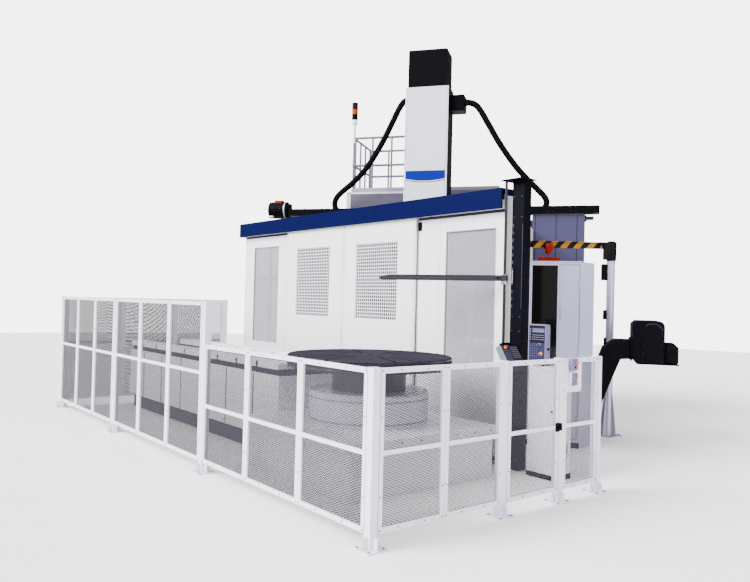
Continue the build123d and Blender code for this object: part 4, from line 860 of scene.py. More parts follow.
class MILL_OT_fence_hardware(bpy.types.Operator):
    """Frame bolts, dark joint seams, anchor bolts, and the gate's latch"""
    bl_idname = "mill.fence_hardware"
    bl_label = "Fence Hardware"

    def execute(self, context):
        fixed, gate, seams = [], [], []
        for name, (spans, along, face, _, height, middle) in RUNS.items():
            levels = np.array([PANEL_GAP + 0.022, PANEL_GAP + (middle - PANEL_GAP) * 0.45,
                               middle + (height - middle) * 0.42, height - 0.03])
            for low, high in spans:
                stiles = np.array([low + 0.022, high - 0.022])
                thirds = low + (high - low) * np.array([0.3, 0.7])
                places = np.concatenate([on_run(along, face, stiles[:, None], levels[None]),
                                         on_run(along, face, thirds[:, None], levels[None, [0, 3]])])
                heads = bolt_heads(places, outward(along, face), 0.0062)
                (gate if name == "mesh_gate" else fixed).append(heads)
            if name == "mesh_gate":
                continue
            for u in (spans[0][0], spans[-1][1]):
                first = on_run(along, face, u - SEAM / 2, PANEL_GAP, 0.001)[0]
                second = on_run(along, face, u + SEAM / 2, height - FRAME_TOP, -0.004)[0]
                seams.append(bars(np.minimum(first, second), np.maximum(first, second), 0.0004))
        feet = np.array(POST_PLACES)
        corner = grid_of([-FOOT_BOLT, FOOT_BOLT], [-FOOT_BOLT, FOOT_BOLT], [0.012])
        anchors = (np.pad(feet, ((0, 0), (0, 1)))[:, None] + corner[None]).reshape(-1, 3)
        put("fence_bolts", [("key_dark", fixed), ("bolt_zinc", [hexes(anchors, 0.009)])], "mill")
        put("fence_seams", [("rubber_black", seams)], "mill")
        latch = [bars((FENCE_RIGHT, 0.690, 0.745), (FENCE_RIGHT + 0.020, 0.738, 0.835), 0.003),
                 rod((FENCE_RIGHT + 0.018, 0.712, 0.79), (FENCE_RIGHT + 0.046, 0.712, 0.79), 0.009, 0.002)]
        keeper = bars((FENCE_RIGHT, 0.752, 0.752), (FENCE_RIGHT + 0.014, 0.790, 0.828), 0.002)
        put("gate_latch", [("black_enamel", latch), ("key_dark", gate)], "gate")
        put("gate_keeper", [("black_enamel", [keeper])], "mill")
        return {"FINISHED"}


SCREEN_BOTTOM, SCREEN_W, SCREEN_H, SCREEN_Y, SCREEN_SHEET = 1.763, 1.010, 1.190, 1.512, 0.002
SCREEN_MARGIN = 0.006
SCREEN_HOLE = 0.76
DOORS = {"left": (-4.370, -2.629, -4.030, "left_leaf"), "right": (-2.621, -0.875, -2.280, "right_leaf")}
DOOR_FRONT, DOOR_BACK, DOOR_BOTTOM, DOOR_TOP = 1.500, 1.550, 0.160, 3.380


def perforated(x0, z0, width, height, columns, rows, share, front, thick):
    """A sheet with a grid of square holes. Each cell is four square rings: outer and inner edge at the front, then
    inner and outer edge at the back, so the walls of the hole close it."""
    cell = np.array([width / columns, height / rows])
    column, row = np.meshgrid(np.arange(columns), np.arange(rows), indexing="ij")
    centre = np.stack([x0 + (column + 0.5) * cell[0], z0 + (row + 0.5) * cell[1]], -1).reshape(-1, 1, 1, 2)
    square = np.array([[-0.5, -0.5], [0.5, -0.5], [0.5, 0.5], [-0.5, 0.5]])[None, None] * cell
    scale = np.array([1.0, share, share, 1.0])[None, :, None, None]
    flat = centre + square * scale
    depth = np.broadcast_to(np.array([front, front, front + thick, front + thick])[None, :, None], flat.shape[:3])
    return rings(np.stack([flat[..., 0], depth, flat[..., 1]], -1), caps=False)


def frame_bars(x0, x1, z0, z1, width, front, back, cut=0.002):
    """Four bars around a rectangle in the plane of a wall that faces the operator."""
    return bars([(x0, front, z0), (x1 - width, front, z0), (x0 + width, front, z0), (x0 + width, front, z1 - width)],
                [(x0 + width, back, z1), (x1, back, z1), (x1 - width, back, z0 + width), (x1 - width, back, z1)], cut)


class MILL_OT_doors(bpy.types.Operator):
    """Perforated screens, the dark panes behind them that paint the shade inside, and door edges with a painted shadow
    strip in each edge gap
    """
    bl_idname = "mill.doors"
    bl_label = "Doors"

    def execute(self, context):
        sizes = context.scene.mill_sizes
        for side, (x0, x1, screen_x, body) in DOORS.items():
            sheet = perforated(screen_x + SCREEN_MARGIN, SCREEN_BOTTOM + SCREEN_MARGIN, SCREEN_W - 2 * SCREEN_MARGIN,
                               SCREEN_H - 2 * SCREEN_MARGIN, sizes.screen_columns, sizes.screen_rows, SCREEN_HOLE,
                               SCREEN_Y, SCREEN_SHEET)
            edge = frame_bars(screen_x, screen_x + SCREEN_W, SCREEN_BOTTOM, SCREEN_BOTTOM + SCREEN_H, SCREEN_MARGIN,
                              SCREEN_Y, SCREEN_Y + SCREEN_SHEET, 0.0004)
            # A dark pane behind the holes: painted shade of the machine's inside.
            shade_pane = bars((screen_x, SCREEN_Y + 0.006, SCREEN_BOTTOM),
                        (screen_x + SCREEN_W, SCREEN_Y + 0.012, SCREEN_BOTTOM + SCREEN_H), 0.001)
            screen = put(f"screen_{side}", [("screen_grey", [sheet, edge]), ("screen_painted_shade", [shade_pane])], body,
                         30)
            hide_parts(f"door_{side}_screen")
            lip = frame_bars(screen_x - 0.012, screen_x + SCREEN_W + 0.012, SCREEN_BOTTOM - 0.012,
                             SCREEN_BOTTOM + SCREEN_H + 0.012, 0.012, DOOR_FRONT - 0.0015, DOOR_FRONT + 0.001, 0.0006)
            folds = bars([(x0 + 0.030, DOOR_FRONT - 0.001, DOOR_BOTTOM + 0.02),
                          (x1 - 0.034, DOOR_FRONT - 0.001, DOOR_BOTTOM + 0.02)],
                         [(x0 + 0.034, DOOR_FRONT + 0.001, DOOR_TOP - 0.02),
                          (x1 - 0.030, DOOR_FRONT + 0.001, DOOR_TOP - 0.02)], 0.0004)
            edge_x = x1 if side == "right" else x0
            # Painted shadow: a dark strip in the gap at the door's outer edge.
            edge_shadow_strip = bars((edge_x - 0.004, DOOR_BACK - 0.016, DOOR_BOTTOM),
                          (edge_x + 0.003, DOOR_BACK - 0.003, DOOR_TOP), 0.001)
            put(f"door_{side}_edges", [("screen_grey", [lip]), ("seam_grey", [folds]), ("rubber_black", [edge_shadow_strip])],
                body)
        return {"FINISHED"}


WALL_FACE = 1.560
WALL_X0, WALL_X1 = -6.030, 0.790
GLASS = {"left": (-5.670, -4.760), "right": (-0.300, 0.610)}
GLASS_Z0, GLASS_Z1, GLASS_FACE = 1.220, 3.040, 1.580


class MILL_OT_wall(bpy.types.Operator):
    """Window gaskets, what shows behind the panes, folded seams, a dark strip of painted shadow under the fascia, wall
    bolts and the door guide
    """
    bl_idname = "mill.wall"
    bl_label = "Wall"

    def execute(self, context):
        gaskets, seams, bolts, behind, squares = [], [], [], [], []
        for x0, x1 in GLASS.values():
            gaskets.append(frame_bars(x0 - 0.006, x1 + 0.006, GLASS_Z0 - 0.006, GLASS_Z1 + 0.006, 0.014,
                                      WALL_FACE - 0.0015, GLASS_FACE, 0.001))
        left = GLASS["left"]
        behind.append(bars([(left[0], 1.70, 2.42), (left[0] + 0.30, 1.72, GLASS_Z0),
                            (left[0] + 0.62, 1.72, GLASS_Z0)], [(left[1], 1.74, 2.47),
                                                                (left[0] + 0.36, 1.76, GLASS_Z1),
                                                                (left[0] + 0.66, 1.76, GLASS_Z1)], 0.003))
        behind.append(bars([(0.10, 1.66, GLASS_Z0), (0.52, 1.64, 2.62)], [(0.14, 1.70, GLASS_Z1), (0.60, 1.70, 3.00)],
                           0.003))
        cell = grid_of(np.linspace(-0.23, -0.03, 4), [1.66], np.linspace(1.34, 2.58, 13))
        squares.append(bars(cell - (0.024, 0.006, 0.030), cell + (0.024, 0.006, 0.030), 0.003))
        squares.append(bars((-0.24, 1.655, 1.10), (-0.10, 1.668, 1.29), 0.003))
        put("window_gaskets", [("gasket_grey", gaskets)], "mill")
        put("window_interior", [("key_grey", behind), ("key_dark", squares)], "mill")
        for x in (-6.000, -4.440, -0.420, 0.760):
            seams.append(bars((x - 0.0015, WALL_FACE - 0.0008, 0.10), (x + 0.0015, WALL_FACE + 0.002, 3.26), 0.0004))
        # Painted shadow: a dark strip in the recess under the fascia, left and right of the doors.
        seams.append(bars([(WALL_X0, WALL_FACE - 0.004, 3.235), (-0.865, WALL_FACE - 0.004, 3.235)],
                          [(-4.375, WALL_FACE + 0.002, 3.275), (WALL_X1, WALL_FACE + 0.002, 3.275)], 0.001))
        places = grid_of([-6.012, 0.775], WALL_FACE, np.linspace(0.22, 3.18, 9))
        bolts.append(bolt_heads(places, FRONT, 0.0060))
        guide = bars((WALL_X0, 1.492, 0.060), (WALL_X1, 1.558, 0.098), 0.003)
        stop = [bars((-0.868, 1.552, 3.085), (-0.800, WALL_FACE, 3.215), 0.002)]
        put("wall_trim", [("seam_grey", seams), ("bolt_zinc", bolts), ("dark_iron", [guide]), ("black_enamel", stop)],
            "mill")
        fascia_bolts = grid_of(np.linspace(-5.98, 0.70, 12), [1.440], [3.300, 3.500])
        lines = bars([(-3.92, 1.4385, 3.27), (-1.75, 1.4385, 3.27)], [(-3.917, 1.4400, 3.53), (-1.747, 1.4400, 3.53)],
                     0.0003)
        put("fascia_bolts", [("fascia_enamel", [bolt_heads(fascia_bolts, FRONT, 0.0070), lines])], "mill")
        return {"FINISHED"}


TABLE_TOP, TABLE_R = 1.395, 1.000


class MILL_OT_table(bpy.types.Operator):
    """Rim band, centre plug ring, drum bands and the station's bolts"""
    bl_idname = "mill.table"
    bl_label = "Table"

    def execute(self, context):
        rim = lathe([(TABLE_R - 0.001, 1.262), (TABLE_R + 0.0015, 1.266), (TABLE_R + 0.0015, 1.282),
                     (TABLE_R - 0.001, 1.286)], (0, 0, 0), sides=160)
        band = lathe([(TABLE_R - 0.001, 1.366), (TABLE_R + 0.0012, 1.368), (TABLE_R + 0.0012, 1.380),
                      (TABLE_R - 0.001, 1.382)], (0, 0, 0), sides=160)
        ring = lathe([(0.052, TABLE_TOP - 0.004), (0.052, TABLE_TOP + 0.0015), (0.074, TABLE_TOP + 0.0015),
                      (0.078, TABLE_TOP - 0.001)], (0, 0, 0), sides=64)
        put("table_rings", [("rod_steel", [rim, band]), ("black_enamel", [ring])], "table_spin")
        bands = [lathe([(0.724, z - 0.010), (0.7275, z - 0.008), (0.7275, z + 0.008), (0.724, z + 0.010)], (0, 0, 0),
                       sides=128) for z in (0.655, 0.905)]
        turn = np.radians(np.arange(24) * 15)
        ring_bolts = np.stack([0.700 * np.cos(turn), 0.700 * np.sin(turn), np.full(24, 0.980)], -1)
        row = np.linspace(-0.98, 0.98, 8)
        front = bolt_heads(grid_of(row, -1.110, 0.555), FRONT, 0.010, 10)
        side = bolt_heads(grid_of(1.110, row, 0.555), RIGHT, 0.010, 10)
        doors = bars([(-0.86, -1.082, 0.07), (0.06, -1.082, 0.07)], [(-0.06, -1.078, 0.46), (0.86, -1.078, 0.46)],
                     0.001)
        side_doors = bars([(1.078, -0.86, 0.07), (1.078, 0.06, 0.07)], [(1.082, -0.06, 0.46), (1.082, 0.86, 0.46)],
                          0.001)
        put("station_trim", [("gasket_grey", bands), ("bolt_zinc",
                                                      [bolt_heads(ring_bolts, UP, 0.010, 10), front, side]),
                             ("white_enamel", [doors, side_doors])], "mill")
        return {"FINISHED"}


BED_X0, BED_X1 = -6.360, -1.110


class MILL_OT_bed(bpy.types.Operator):
    """Cover seams, bolts, and the rollers between the bed's guide pads"""
    bl_idname = "mill.bed"
    bl_label = "Transfer Bed"

    def execute(self, context):
        rollers, seams, bolts = [], [], []
        places = np.linspace(BED_X0 + 0.32, BED_X1 - 0.30, 9)
        middles = (places[1:] + places[:-1]) / 2
        for face in (-1, 1):
            roll = grid_of(middles, [face * 0.560], [1.172])
            rollers.append(lathe([(0.020, 0), (0.034, 0.002), (0.034, 0.030), (0.026, 0.036), (0.010, 0.036)], roll,
                                 (0, face, 0), 20))
        for x in np.linspace(BED_X0 + 0.66, BED_X1 - 0.66, 6):
            seams.append(bars([(x - 0.012, -0.603, 0.24), (x - 0.012, 0.599, 0.24)],
                              [(x + 0.012, -0.599, 1.04), (x + 0.012, 0.603, 1.04)], 0.001))
        seams.append(bars((BED_X0 - 0.003, -0.012, 0.24), (BED_X0 + 0.001, 0.012, 1.04), 0.001))
        for face in (-1, 1):
            row = grid_of(np.linspace(BED_X0 + 0.05, BED_X1 - 0.06, 22), 0.600 * face, [0.27, 1.02])
            bolts.append(bolt_heads(row, (0, face, 0), 0.0055))
        put("bed_trim", [("charcoal_enamel", rollers), ("seam_grey", seams), ("bolt_zinc", bolts)], "mill")
        return {"FINISHED"}


RAM_X0, RAM_X1, RAM_Y0, RAM_Y1 = -0.911, -0.099, -0.300, 0.200
COVER_Z0, COVER_Z1, CAP_Z1 = 3.300, 6.062, 6.770


class MILL_OT_ram(bpy.types.Operator):
    """Ram cover with its plain blue band, side panels, bolts and the seams of the cap"""
    bl_idname = "mill.ram"
    bl_label = "Ram"

    def execute(self, context):
        bend = np.linspace(-1, 1, 25)
        middle, half = (RAM_X0 + RAM_X1) / 2, 0.372
        lower = 4.345 - 0.040 * (1 - bend ** 2)
        outline = np.concatenate([np.stack([middle + half * bend, lower], 1),
                                  [(middle + half, 4.495), (middle - half, 4.495)]])
        band = slab(outline, 0.0, 0.0012, (0, RAM_Y0, 0))
        under = np.concatenate([np.stack([middle + half * bend, lower - 0.030], 1),
                                np.stack([middle + half * bend, lower - 0.014], 1)[::-1]])
        line = slab(under, 0.0, 0.0010, (0, RAM_Y0, 0))
        side = bars((RAM_X1, RAM_Y0 + 0.012, COVER_Z0 + 0.02), (RAM_X1 + 0.003, RAM_Y1 - 0.01, COVER_Z1), 0.001)
        left = bars((RAM_X0 - 0.003, RAM_Y0 + 0.012, COVER_Z0 + 0.02), (RAM_X0, RAM_Y1 - 0.01, COVER_Z1), 0.001)
        lines = bars([(RAM_X0, RAM_Y0 - 0.0006, COVER_Z1 - 0.004), (RAM_X0 + 0.030, RAM_Y0 - 0.0005, COVER_Z0),
                      (RAM_X1 - 0.033, RAM_Y0 - 0.0005, COVER_Z0)], [(RAM_X1, RAM_Y0 + 0.002, COVER_Z1 + 0.001),
                                                                     (RAM_X0 + 0.033, RAM_Y0 + 0.001, COVER_Z1),
                                                                     (RAM_X1 - 0.030, RAM_Y0 + 0.001, COVER_Z1)],
                     0.0003)
        heads = grid_of([RAM_X0 + 0.016, RAM_X1 - 0.016], [RAM_Y0], np.linspace(3.45, 5.98, 8))
        bolts = bolt_heads(heads)
        hatch = grid_of([RAM_X1 + 0.003], [RAM_Y0 + 0.05, RAM_Y1 - 0.05], np.linspace(3.55, 5.50, 6))
        side_bolts = bolt_heads(hatch, RIGHT)
        put("ram_trim", [("blue_plate", [band]), ("charcoal_enamel", [side, line]), ("ram_enamel", [left]),
                         ("seam_grey", [lines]), ("bolt_zinc", [bolts, side_bolts])], "mill",
            place=in_machine)
        cap_x0, cap_x1, cap_y = RAM_X0 + 0.038, RAM_X1 - 0.038, RAM_Y0 + 0.019
        seam = [bars((cap_x0 + 0.02, cap_y - 0.0006, z), (cap_x1 - 0.02, cap_y + 0.001, z + 0.003), 0.0003)
                for z in (6.30, 6.53)]
        levels = np.linspace(6.20, 6.50, 9)
        fins = bars(grid_of(cap_x1, RAM_Y0 + 0.08, levels), grid_of(cap_x1 + 0.006, RAM_Y1 - 0.08, levels + 0.012),
                    0.002)
        heads = grid_of([cap_x0 + 0.03, cap_x1 - 0.03], [cap_y], np.linspace(6.10, 6.70, 4))
        put("ram_cap_trim", [("charcoal_enamel", [*seam, fins]), ("black_enamel", [bolt_heads(heads)])], "mill",
            place=in_machine)
        box = [bars((-0.099, -0.181, 5.76), (0.1712, 0.141, 5.763), 0.0004)]
        glands = [rod((0.165, -0.050, 5.790), (0.205, -0.050, 5.790), 0.066, 0.006, 24),
                  rod((0.190, -0.050, 5.790), (0.235, -0.050, 5.790), 0.059, 0.004, 24)]
        left_glands = [rod((-0.905, 0.080, 5.940), (-0.945, 0.080, 5.940), 0.066, 0.006, 24),
                       rod((-0.930, 0.080, 5.940), (-0.975, 0.080, 5.940), 0.059, 0.004, 24)]
        screws = bolt_heads(grid_of([-0.07, 0.14], [-0.180], [5.65, 5.885]))
        put("cable_glands", [("rubber_black", [*glands, *left_glands]), ("charcoal_enamel", [*box, screws])], "mill",
            place=in_machine)
        return {"FINISHED"}


MOTOR_X0, MOTOR_R, MOTOR_Z, TRAY_Y = -3.892, 0.165, 3.875, 0.375


class MILL_OT_tray(bpy.types.Operator):
    """Cable tray covers, the red motor's fins, its grey disc and the tray's brackets"""
    bl_idname = "mill.tray"
    bl_label = "Cable Tray"

    def execute(self, context):
        y0, y1, z0, z1 = 0.250, 0.500, 3.745, 3.885
        joints = np.array([-3.10, -2.62, -1.80, 1.75, 2.15])
        bands = bars(grid_of(joints - 0.010, y0 - 0.004, z0 + 0.003), grid_of(joints + 0.010, y1 + 0.004, z1 + 0.004),
                     0.002)
        rim = bars([(-3.487, y0 - 0.003, z1 - 0.012), (-3.487, y0 - 0.003, z0)],
                   [(2.611, y0 + 0.001, z1 - 0.002), (2.611, y0 + 0.001, z0 + 0.010)], 0.001)
        heads = grid_of(np.concatenate([joints - 0.05, joints + 0.05]), [y0], [3.78, 3.85])
        put("tray_covers", [("charcoal_enamel", [bands, rim]), ("key_dark", [bolt_heads(heads)])], "mill",
            place=in_machine)
        turn = np.radians(np.arange(10) * 36)
        around = np.stack([np.cos(turn), np.sin(turn)], -1)
        fins = [rod((MOTOR_X0 + 0.060, TRAY_Y + 0.166 * c, MOTOR_Z + 0.166 * s),
                    (MOTOR_X0 + 0.330, TRAY_Y + 0.166 * c, MOTOR_Z + 0.166 * s), 0.0055, 0.002, 8) for c, s in around]
        shell = lathe([(0.120, -0.006), (0.158, -0.004), (0.168, 0.004), (0.168, 0.050), (0.160, 0.056)],
                      (MOTOR_X0, TRAY_Y, MOTOR_Z), RIGHT, 48)
        ring = lathe([(0.150, 0), (0.171, 0.002), (0.171, 0.020), (0.150, 0.022)],
                     (MOTOR_X0 + 0.150, TRAY_Y, MOTOR_Z), RIGHT, 48)
        disc = lathe([(0.100, 0), (0.172, 0), (0.174, 0.004), (0.174, 0.022), (0.170, 0.026), (0.100, 0.026)],
                     (MOTOR_X0 + 0.336, TRAY_Y, MOTOR_Z), RIGHT, 48)
        top = slab([(-0.085, 0.0), (0.085, 0.0), (0.080, 0.048), (0.052, 0.066), (-0.052, 0.066), (-0.080, 0.048)],
                   0.0, 0.17, (MOTOR_X0 + 0.10, TRAY_Y, MOTOR_Z + 0.135), 0.008, across=BACK)
        screws = np.stack([np.full(10, MOTOR_X0 - 0.003), TRAY_Y + 0.140 * around[:, 0],
                           MOTOR_Z + 0.140 * around[:, 1]], -1)
        fitting = rod((MOTOR_X0 + 0.02, TRAY_Y - 0.120, MOTOR_Z - 0.150),
                      (MOTOR_X0 + 0.11, TRAY_Y - 0.120, MOTOR_Z - 0.150), 0.030, 0.004, 16)
        put("tray_motor_parts", [("red_enamel", [top]), ("black_enamel", [merged(fins), shell, ring]),
                                 ("tube_silver", [disc, fitting]), ("bolt_zinc", [bolt_heads(screws, LEFT, 0.006)])],
            "mill", place=in_machine)
        return {"FINISHED"}


LAMP_AT = (-2.240, 0.750)
LAMP_Z0, LAMP_Z1, LAMP_R = 5.700, 6.125, 0.060
RAIL_X0, RAIL_X1, RAIL_Y0, RAIL_Y1, RAIL_Z = -2.240, -1.034, 0.750, 2.030, 5.397


class MILL_OT_platform(bpy.types.Operator):
    """Signal lamp lenses, railing sockets, floor plate treads and the hood's edges"""
    bl_idname = "mill.platform"
    bl_label = "Platform"

    def execute(self, context):
        height = LAMP_Z1 - LAMP_Z0
        at = (*LAMP_AT, LAMP_Z0)
        levels = (("white_enamel", 0.0, 0.18), ("black_enamel", 0.18, 0.44), ("amber_lens", 0.44, 0.69),
                  ("dark_red_lens", 0.69, 1.0))
        groups = []
        for name, low, high in levels:
            z0, z1 = low * height + 0.003, high * height - 0.003
            ribs = np.linspace(z0, z1, 15)
            wave = LAMP_R + 0.0012 + 0.0012 * np.cos(np.arange(15) * np.pi)
            profile = [(LAMP_R - 0.004, z0), *zip(wave, ribs), (LAMP_R - 0.004, z1)]
            groups.append((name, [lathe(profile, at, sides=40)]))
        dome = lathe([(LAMP_R - 0.002, height - 0.002), (LAMP_R * 0.92, height + 0.006),
                      (LAMP_R * 0.5, height + 0.010), (0.004, height + 0.011)], at, sides=40)
        groups[2][1].append(lathe([(LAMP_R - 0.003, height * 0.44), (LAMP_R + 0.001, height * 0.44 + 0.001),
                                   (LAMP_R - 0.003, height * 0.44 + 0.002)], at, sides=40))
        groups[3][1].append(dome)
        put("lamp_lenses", groups, "mill", place=in_machine)
        sleeve = [lathe([(0.020, 5.30), (0.030, 5.302), (0.030, 5.690), (0.020, 5.692)], (*LAMP_AT, 0), sides=24),
                  lathe([(0.022, 5.676), (0.050, 5.682), (0.056, 5.701), (0.022, 5.702)], (*LAMP_AT, 0), sides=32)]
        put("lamp_fittings", [("white_enamel", sleeve)], "mill", place=in_machine)
        corners = [(RAIL_X0, RAIL_Y0), (RAIL_X1, RAIL_Y0), (RAIL_X0, RAIL_Y1), (RAIL_X1, RAIL_Y1)]
        feet = np.array([(x, y, 4.272) for x, y in corners])
        sockets = lathe([(0.024, 0), (0.062, 0.001), (0.062, 0.010), (0.030, 0.012), (0.029, 0.070), (0.024, 0.072)],
                        feet, sides=24)
        anchors = (feet[:, None] + grid_of([-0.036, 0.036], [-0.024, 0.024], [0.010])[None]).reshape(-1, 3)
        clamps = lathe([(0.022, -0.030), (0.0285, -0.028), (0.0285, 0.028), (0.022, 0.030)],
                       np.array([(x, y, 4.828) for x, y in corners]), sides=24)
        treads = grid_of(np.linspace(-2.20, -1.08, 15), np.linspace(0.79, 2.00, 16), [4.2715])
        plate = bars(treads - (0.020, 0.004, 0.0), treads + (0.020, 0.004, 0.0016), 0.0006)
        put("railing_fittings", [("rail_steel", [sockets, clamps]), ("bolt_zinc", [bolt_heads(anchors, UP, 0.006)]),
                                 ("hood_enamel", [plate])], "mill", place=in_machine)
        x0, x1, y0, y1 = -2.330, 0.820, 0.620, 2.200
        angle = bars([(x0 - 0.003, y0 - 0.003, 3.750), (x0 - 0.003, y1 - 0.04, 3.750), (x1 - 0.04, y1 - 0.04, 3.750),
                      (x0, y0 - 0.003, 4.225)], [(x0 + 0.085, y0 + 0.085, 4.262), (x0 + 0.040, y1 + 0.003, 4.262),
                                                 (x1 + 0.003, y1 + 0.003, 4.262), (x1 - 1.80, y0 + 0.002, 4.263)],
                     0.002)
        seam_x = np.array([-1.63, -0.98, -0.30, 0.28])
        seams = bars(grid_of(seam_x, y0 - 0.0008, 3.76), grid_of(seam_x + 0.003, y0 + 0.002, 4.25), 0.0004)
        heads = np.concatenate([grid_of(np.linspace(x0 + 0.06, -0.99, 8), [y0], [3.80, 4.21]),
                                grid_of(np.linspace(-0.90, x1 - 0.05, 7), [y0], [3.80, 4.30])])
        side = grid_of([x0], np.linspace(y0 + 0.10, y1 - 0.10, 7), [3.80, 4.20])
        slats = np.linspace(3.86, 4.12, 10)
        vents = bars(grid_of(x0 - 0.003, 1.05, slats), grid_of(x0 + 0.003, 1.65, slats + 0.012), 0.003)
        put("hood_edges", [("ram_enamel", [angle]), ("seam_grey", [seams, vents]),
                           ("bolt_zinc", [bolt_heads(heads, FRONT, 0.007), bolt_heads(side, LEFT, 0.007)])], "mill",
            place=in_machine)
        return {"FINISHED"}


class MILL_OT_columns(bpy.types.Operator):
    """Column side panels, their seams, light edges and bolts, the back panels, and a round stub on the outer side"""
    bl_idname = "mill.columns"
    bl_label = "Columns"

    def execute(self, context):
        face_y, top = 0.300, 3.745
        seams, edges, heads, plates = [], [], [], []
        for sign in (-1, 1):
            xs = sign * np.array([1.476, 1.852, 2.223])
            seams.append(bars(grid_of(xs - 0.005, face_y - 0.0008, 0.10),
                              grid_of(xs + 0.005, face_y + 0.002, top - 0.03), 0.0004))
            x0, x1 = sorted((sign * 1.42, sign * 2.36))
            edges.append(bars([(x0, face_y - 0.002, top - 0.022), (x0, face_y - 0.002, 0.06)],
                              [(x1, face_y + 0.002, top + 0.001), (x1, face_y + 0.002, 0.09)], 0.001))
            columns = sign * np.array([1.448, 1.504, 1.824, 1.880, 2.195, 2.330])
            heads.append(bolt_heads(grid_of(columns, [face_y], np.linspace(0.30, 3.60, 9)), FRONT, 0.007))
            outer = sign * 2.360
            heads.append(bolt_heads(grid_of([outer], [0.36, 1.24, 1.28, 2.14], np.linspace(0.30, 3.60, 9)),
                                    (sign, 0, 0), 0.007, 8))
            low, high = sorted((outer, outer + sign * 0.0015))
            plates.append(bars([(low, 0.34, 0.20), (low, 1.30, 0.20)], [(high, 1.22, 3.66), (high, 2.16, 3.66)],
                               0.0006))
            vents = np.linspace(0.42, 0.92, 12)
            low, high = sorted((outer, outer + sign * 0.006))
            edges.append(bars(grid_of(low, 0.48, vents), grid_of(high, 1.06, vents + 0.016), 0.004))
        stub = [lathe([(0.030, 0), (0.060, 0.002), (0.060, 0.030), (0.034, 0.034), (0.034, 0.150), (0.026, 0.158),
                       (0.004, 0.158)], (2.360, 0.520, 3.680), RIGHT, 24)]
        rows = 0.86 * np.arange(4)
        back = bars(grid_of(-1.30, 2.198, 0.30 + rows), grid_of(1.30, 2.2015, 1.12 + rows), 0.001)
        back_bolts = grid_of(np.linspace(-1.26, 1.26, 7), 2.2015, (np.array([0.33, 1.09]) + rows[:, None]).ravel())
        put("column_trim", [("navy_enamel", seams), ("hood_enamel", edges), ("machine_enamel", [*plates, back]),
                            ("machine_enamel", heads + [bolt_heads(back_bolts, BACK, 0.007)]), ("dark_iron", stub)],
            "mill", place=in_machine)
        return {"FINISHED"}


PILLAR_X1, PILLAR_Y0 = 1.110, 1.500


class MILL_OT_pillar(bpy.types.Operator):
    """Scale marks, a bright strip, a side cover, the front and side bolts and the top plate's bolts"""
    bl_idname = "mill.pillar"
    bl_label = "Gauge Pillar"

    def execute(self, context):
        marks = np.linspace(2.03, 3.04, 12)
        dashes = bars(grid_of(0.940, PILLAR_Y0 - 0.001, marks - 0.017),
                      grid_of(0.948, PILLAR_Y0 + 0.001, marks + 0.017), 0.0004)
        strip = bars((1.090, PILLAR_Y0 - 0.002, 2.00), (1.097, PILLAR_Y0 + 0.001, 3.05), 0.0008)
        heads = np.concatenate([grid_of([0.955, 1.075], [PILLAR_Y0], [1.72, 1.90, 3.14, 3.40]),
                                grid_of([0.955, 1.075], [PILLAR_Y0], [0.14, 0.40, 0.66])])
        side = grid_of([PILLAR_X1], [1.53, 1.61], [1.60, 1.98, 2.36, 2.74, 3.12, 3.50])
        cover = bars((PILLAR_X1, 1.512, 1.56), (PILLAR_X1 + 0.0015, 1.628, 3.56), 0.0006)
        top_bolts = grid_of([0.945, 1.055], [1.515, 1.625], [3.612])
        put("pillar_trim", [("key_grey", [dashes]), ("seam_grey", [strip]), ("navy_enamel", [cover]),
                            ("navy_bolt", [bolt_heads(heads, FRONT, 0.008, 10), bolt_heads(side, RIGHT, 0.006),
                                           hexes(top_bolts, 0.010)])], "mill")
        return {"FINISHED"}


class MILL_OT_gauge(bpy.types.Operator):
    """The gauge arm's rivets, grooves, clamp block and knob"""
    bl_idname = "mill.gauge"
    bl_label = "Gauge Arm"

    def execute(self, context):
        rivets = grid_of(np.linspace(0.16, 1.60, 7), [0.012], [-0.024, 0.024])
        back = grid_of(np.linspace(0.16, 1.60, 7), [-0.012], [-0.024, 0.024])
        groove = bars([(0.12, 0.0118, -0.003), (0.12, -0.0128, -0.003)],
                      [(1.64, 0.0128, 0.003), (1.64, -0.0118, 0.003)], 0.0004)
        clamp = bars((0.050, -0.017, -0.030), (0.105, 0.017, 0.030), 0.004)
        knob = [rod((0.078, 0.016, 0.0), (0.078, 0.040, 0.0), 0.006, 0.001),
                lathe([(0.008, 0), (0.014, 0.002), (0.015, 0.007), (0.013, 0.013), (0.003, 0.0145)],
                      (0.078, 0.038, 0.0), BACK, 20)]
        put("arm_details", [("dark_iron", [bolt_heads(rivets, BACK, 0.0048), bolt_heads(back, FRONT, 0.0048)]),
                            ("dark_iron", [groove, clamp, knob[0]]), ("black_enamel", [knob[1]])], "gauge_swinger",
            place=on_arm)
        return {"FINISHED"}


PANEL_X0, PANEL_X1, PANEL_Y, PANEL_BACK, PANEL_Z0, PANEL_Z1 = 1.270, 1.510, 1.450, 1.530, 1.330, 1.812


def keys(xs, zs, half, face, depth=0.008, cut=0.002):
    """Square keys on a face that looks at the operator."""
    places = grid_of(xs, [face], zs)
    return bars(places - (half[0], depth, half[1]), places + (half[0], 0.002, half[1]), cut)


def mushroom(place, radius, axis=FRONT):
    """A ring plate and a mushroom push button, turned from two profiles: (ring, head)."""
    ring = lathe([(radius * 0.5, 0), (radius * 1.55, 0), (radius * 1.55, 0.003), (radius * 1.35, 0.006),
                  (radius * 0.5, 0.006)], place, axis, 28)
    head = lathe([(radius * 0.55, 0.004), (radius * 0.55, 0.018), (radius, 0.021), (radius, 0.030),
                  (radius * 0.85, 0.036), (radius * 0.4, 0.039), (0.002, 0.040)], place, axis, 28)
    return ring, head


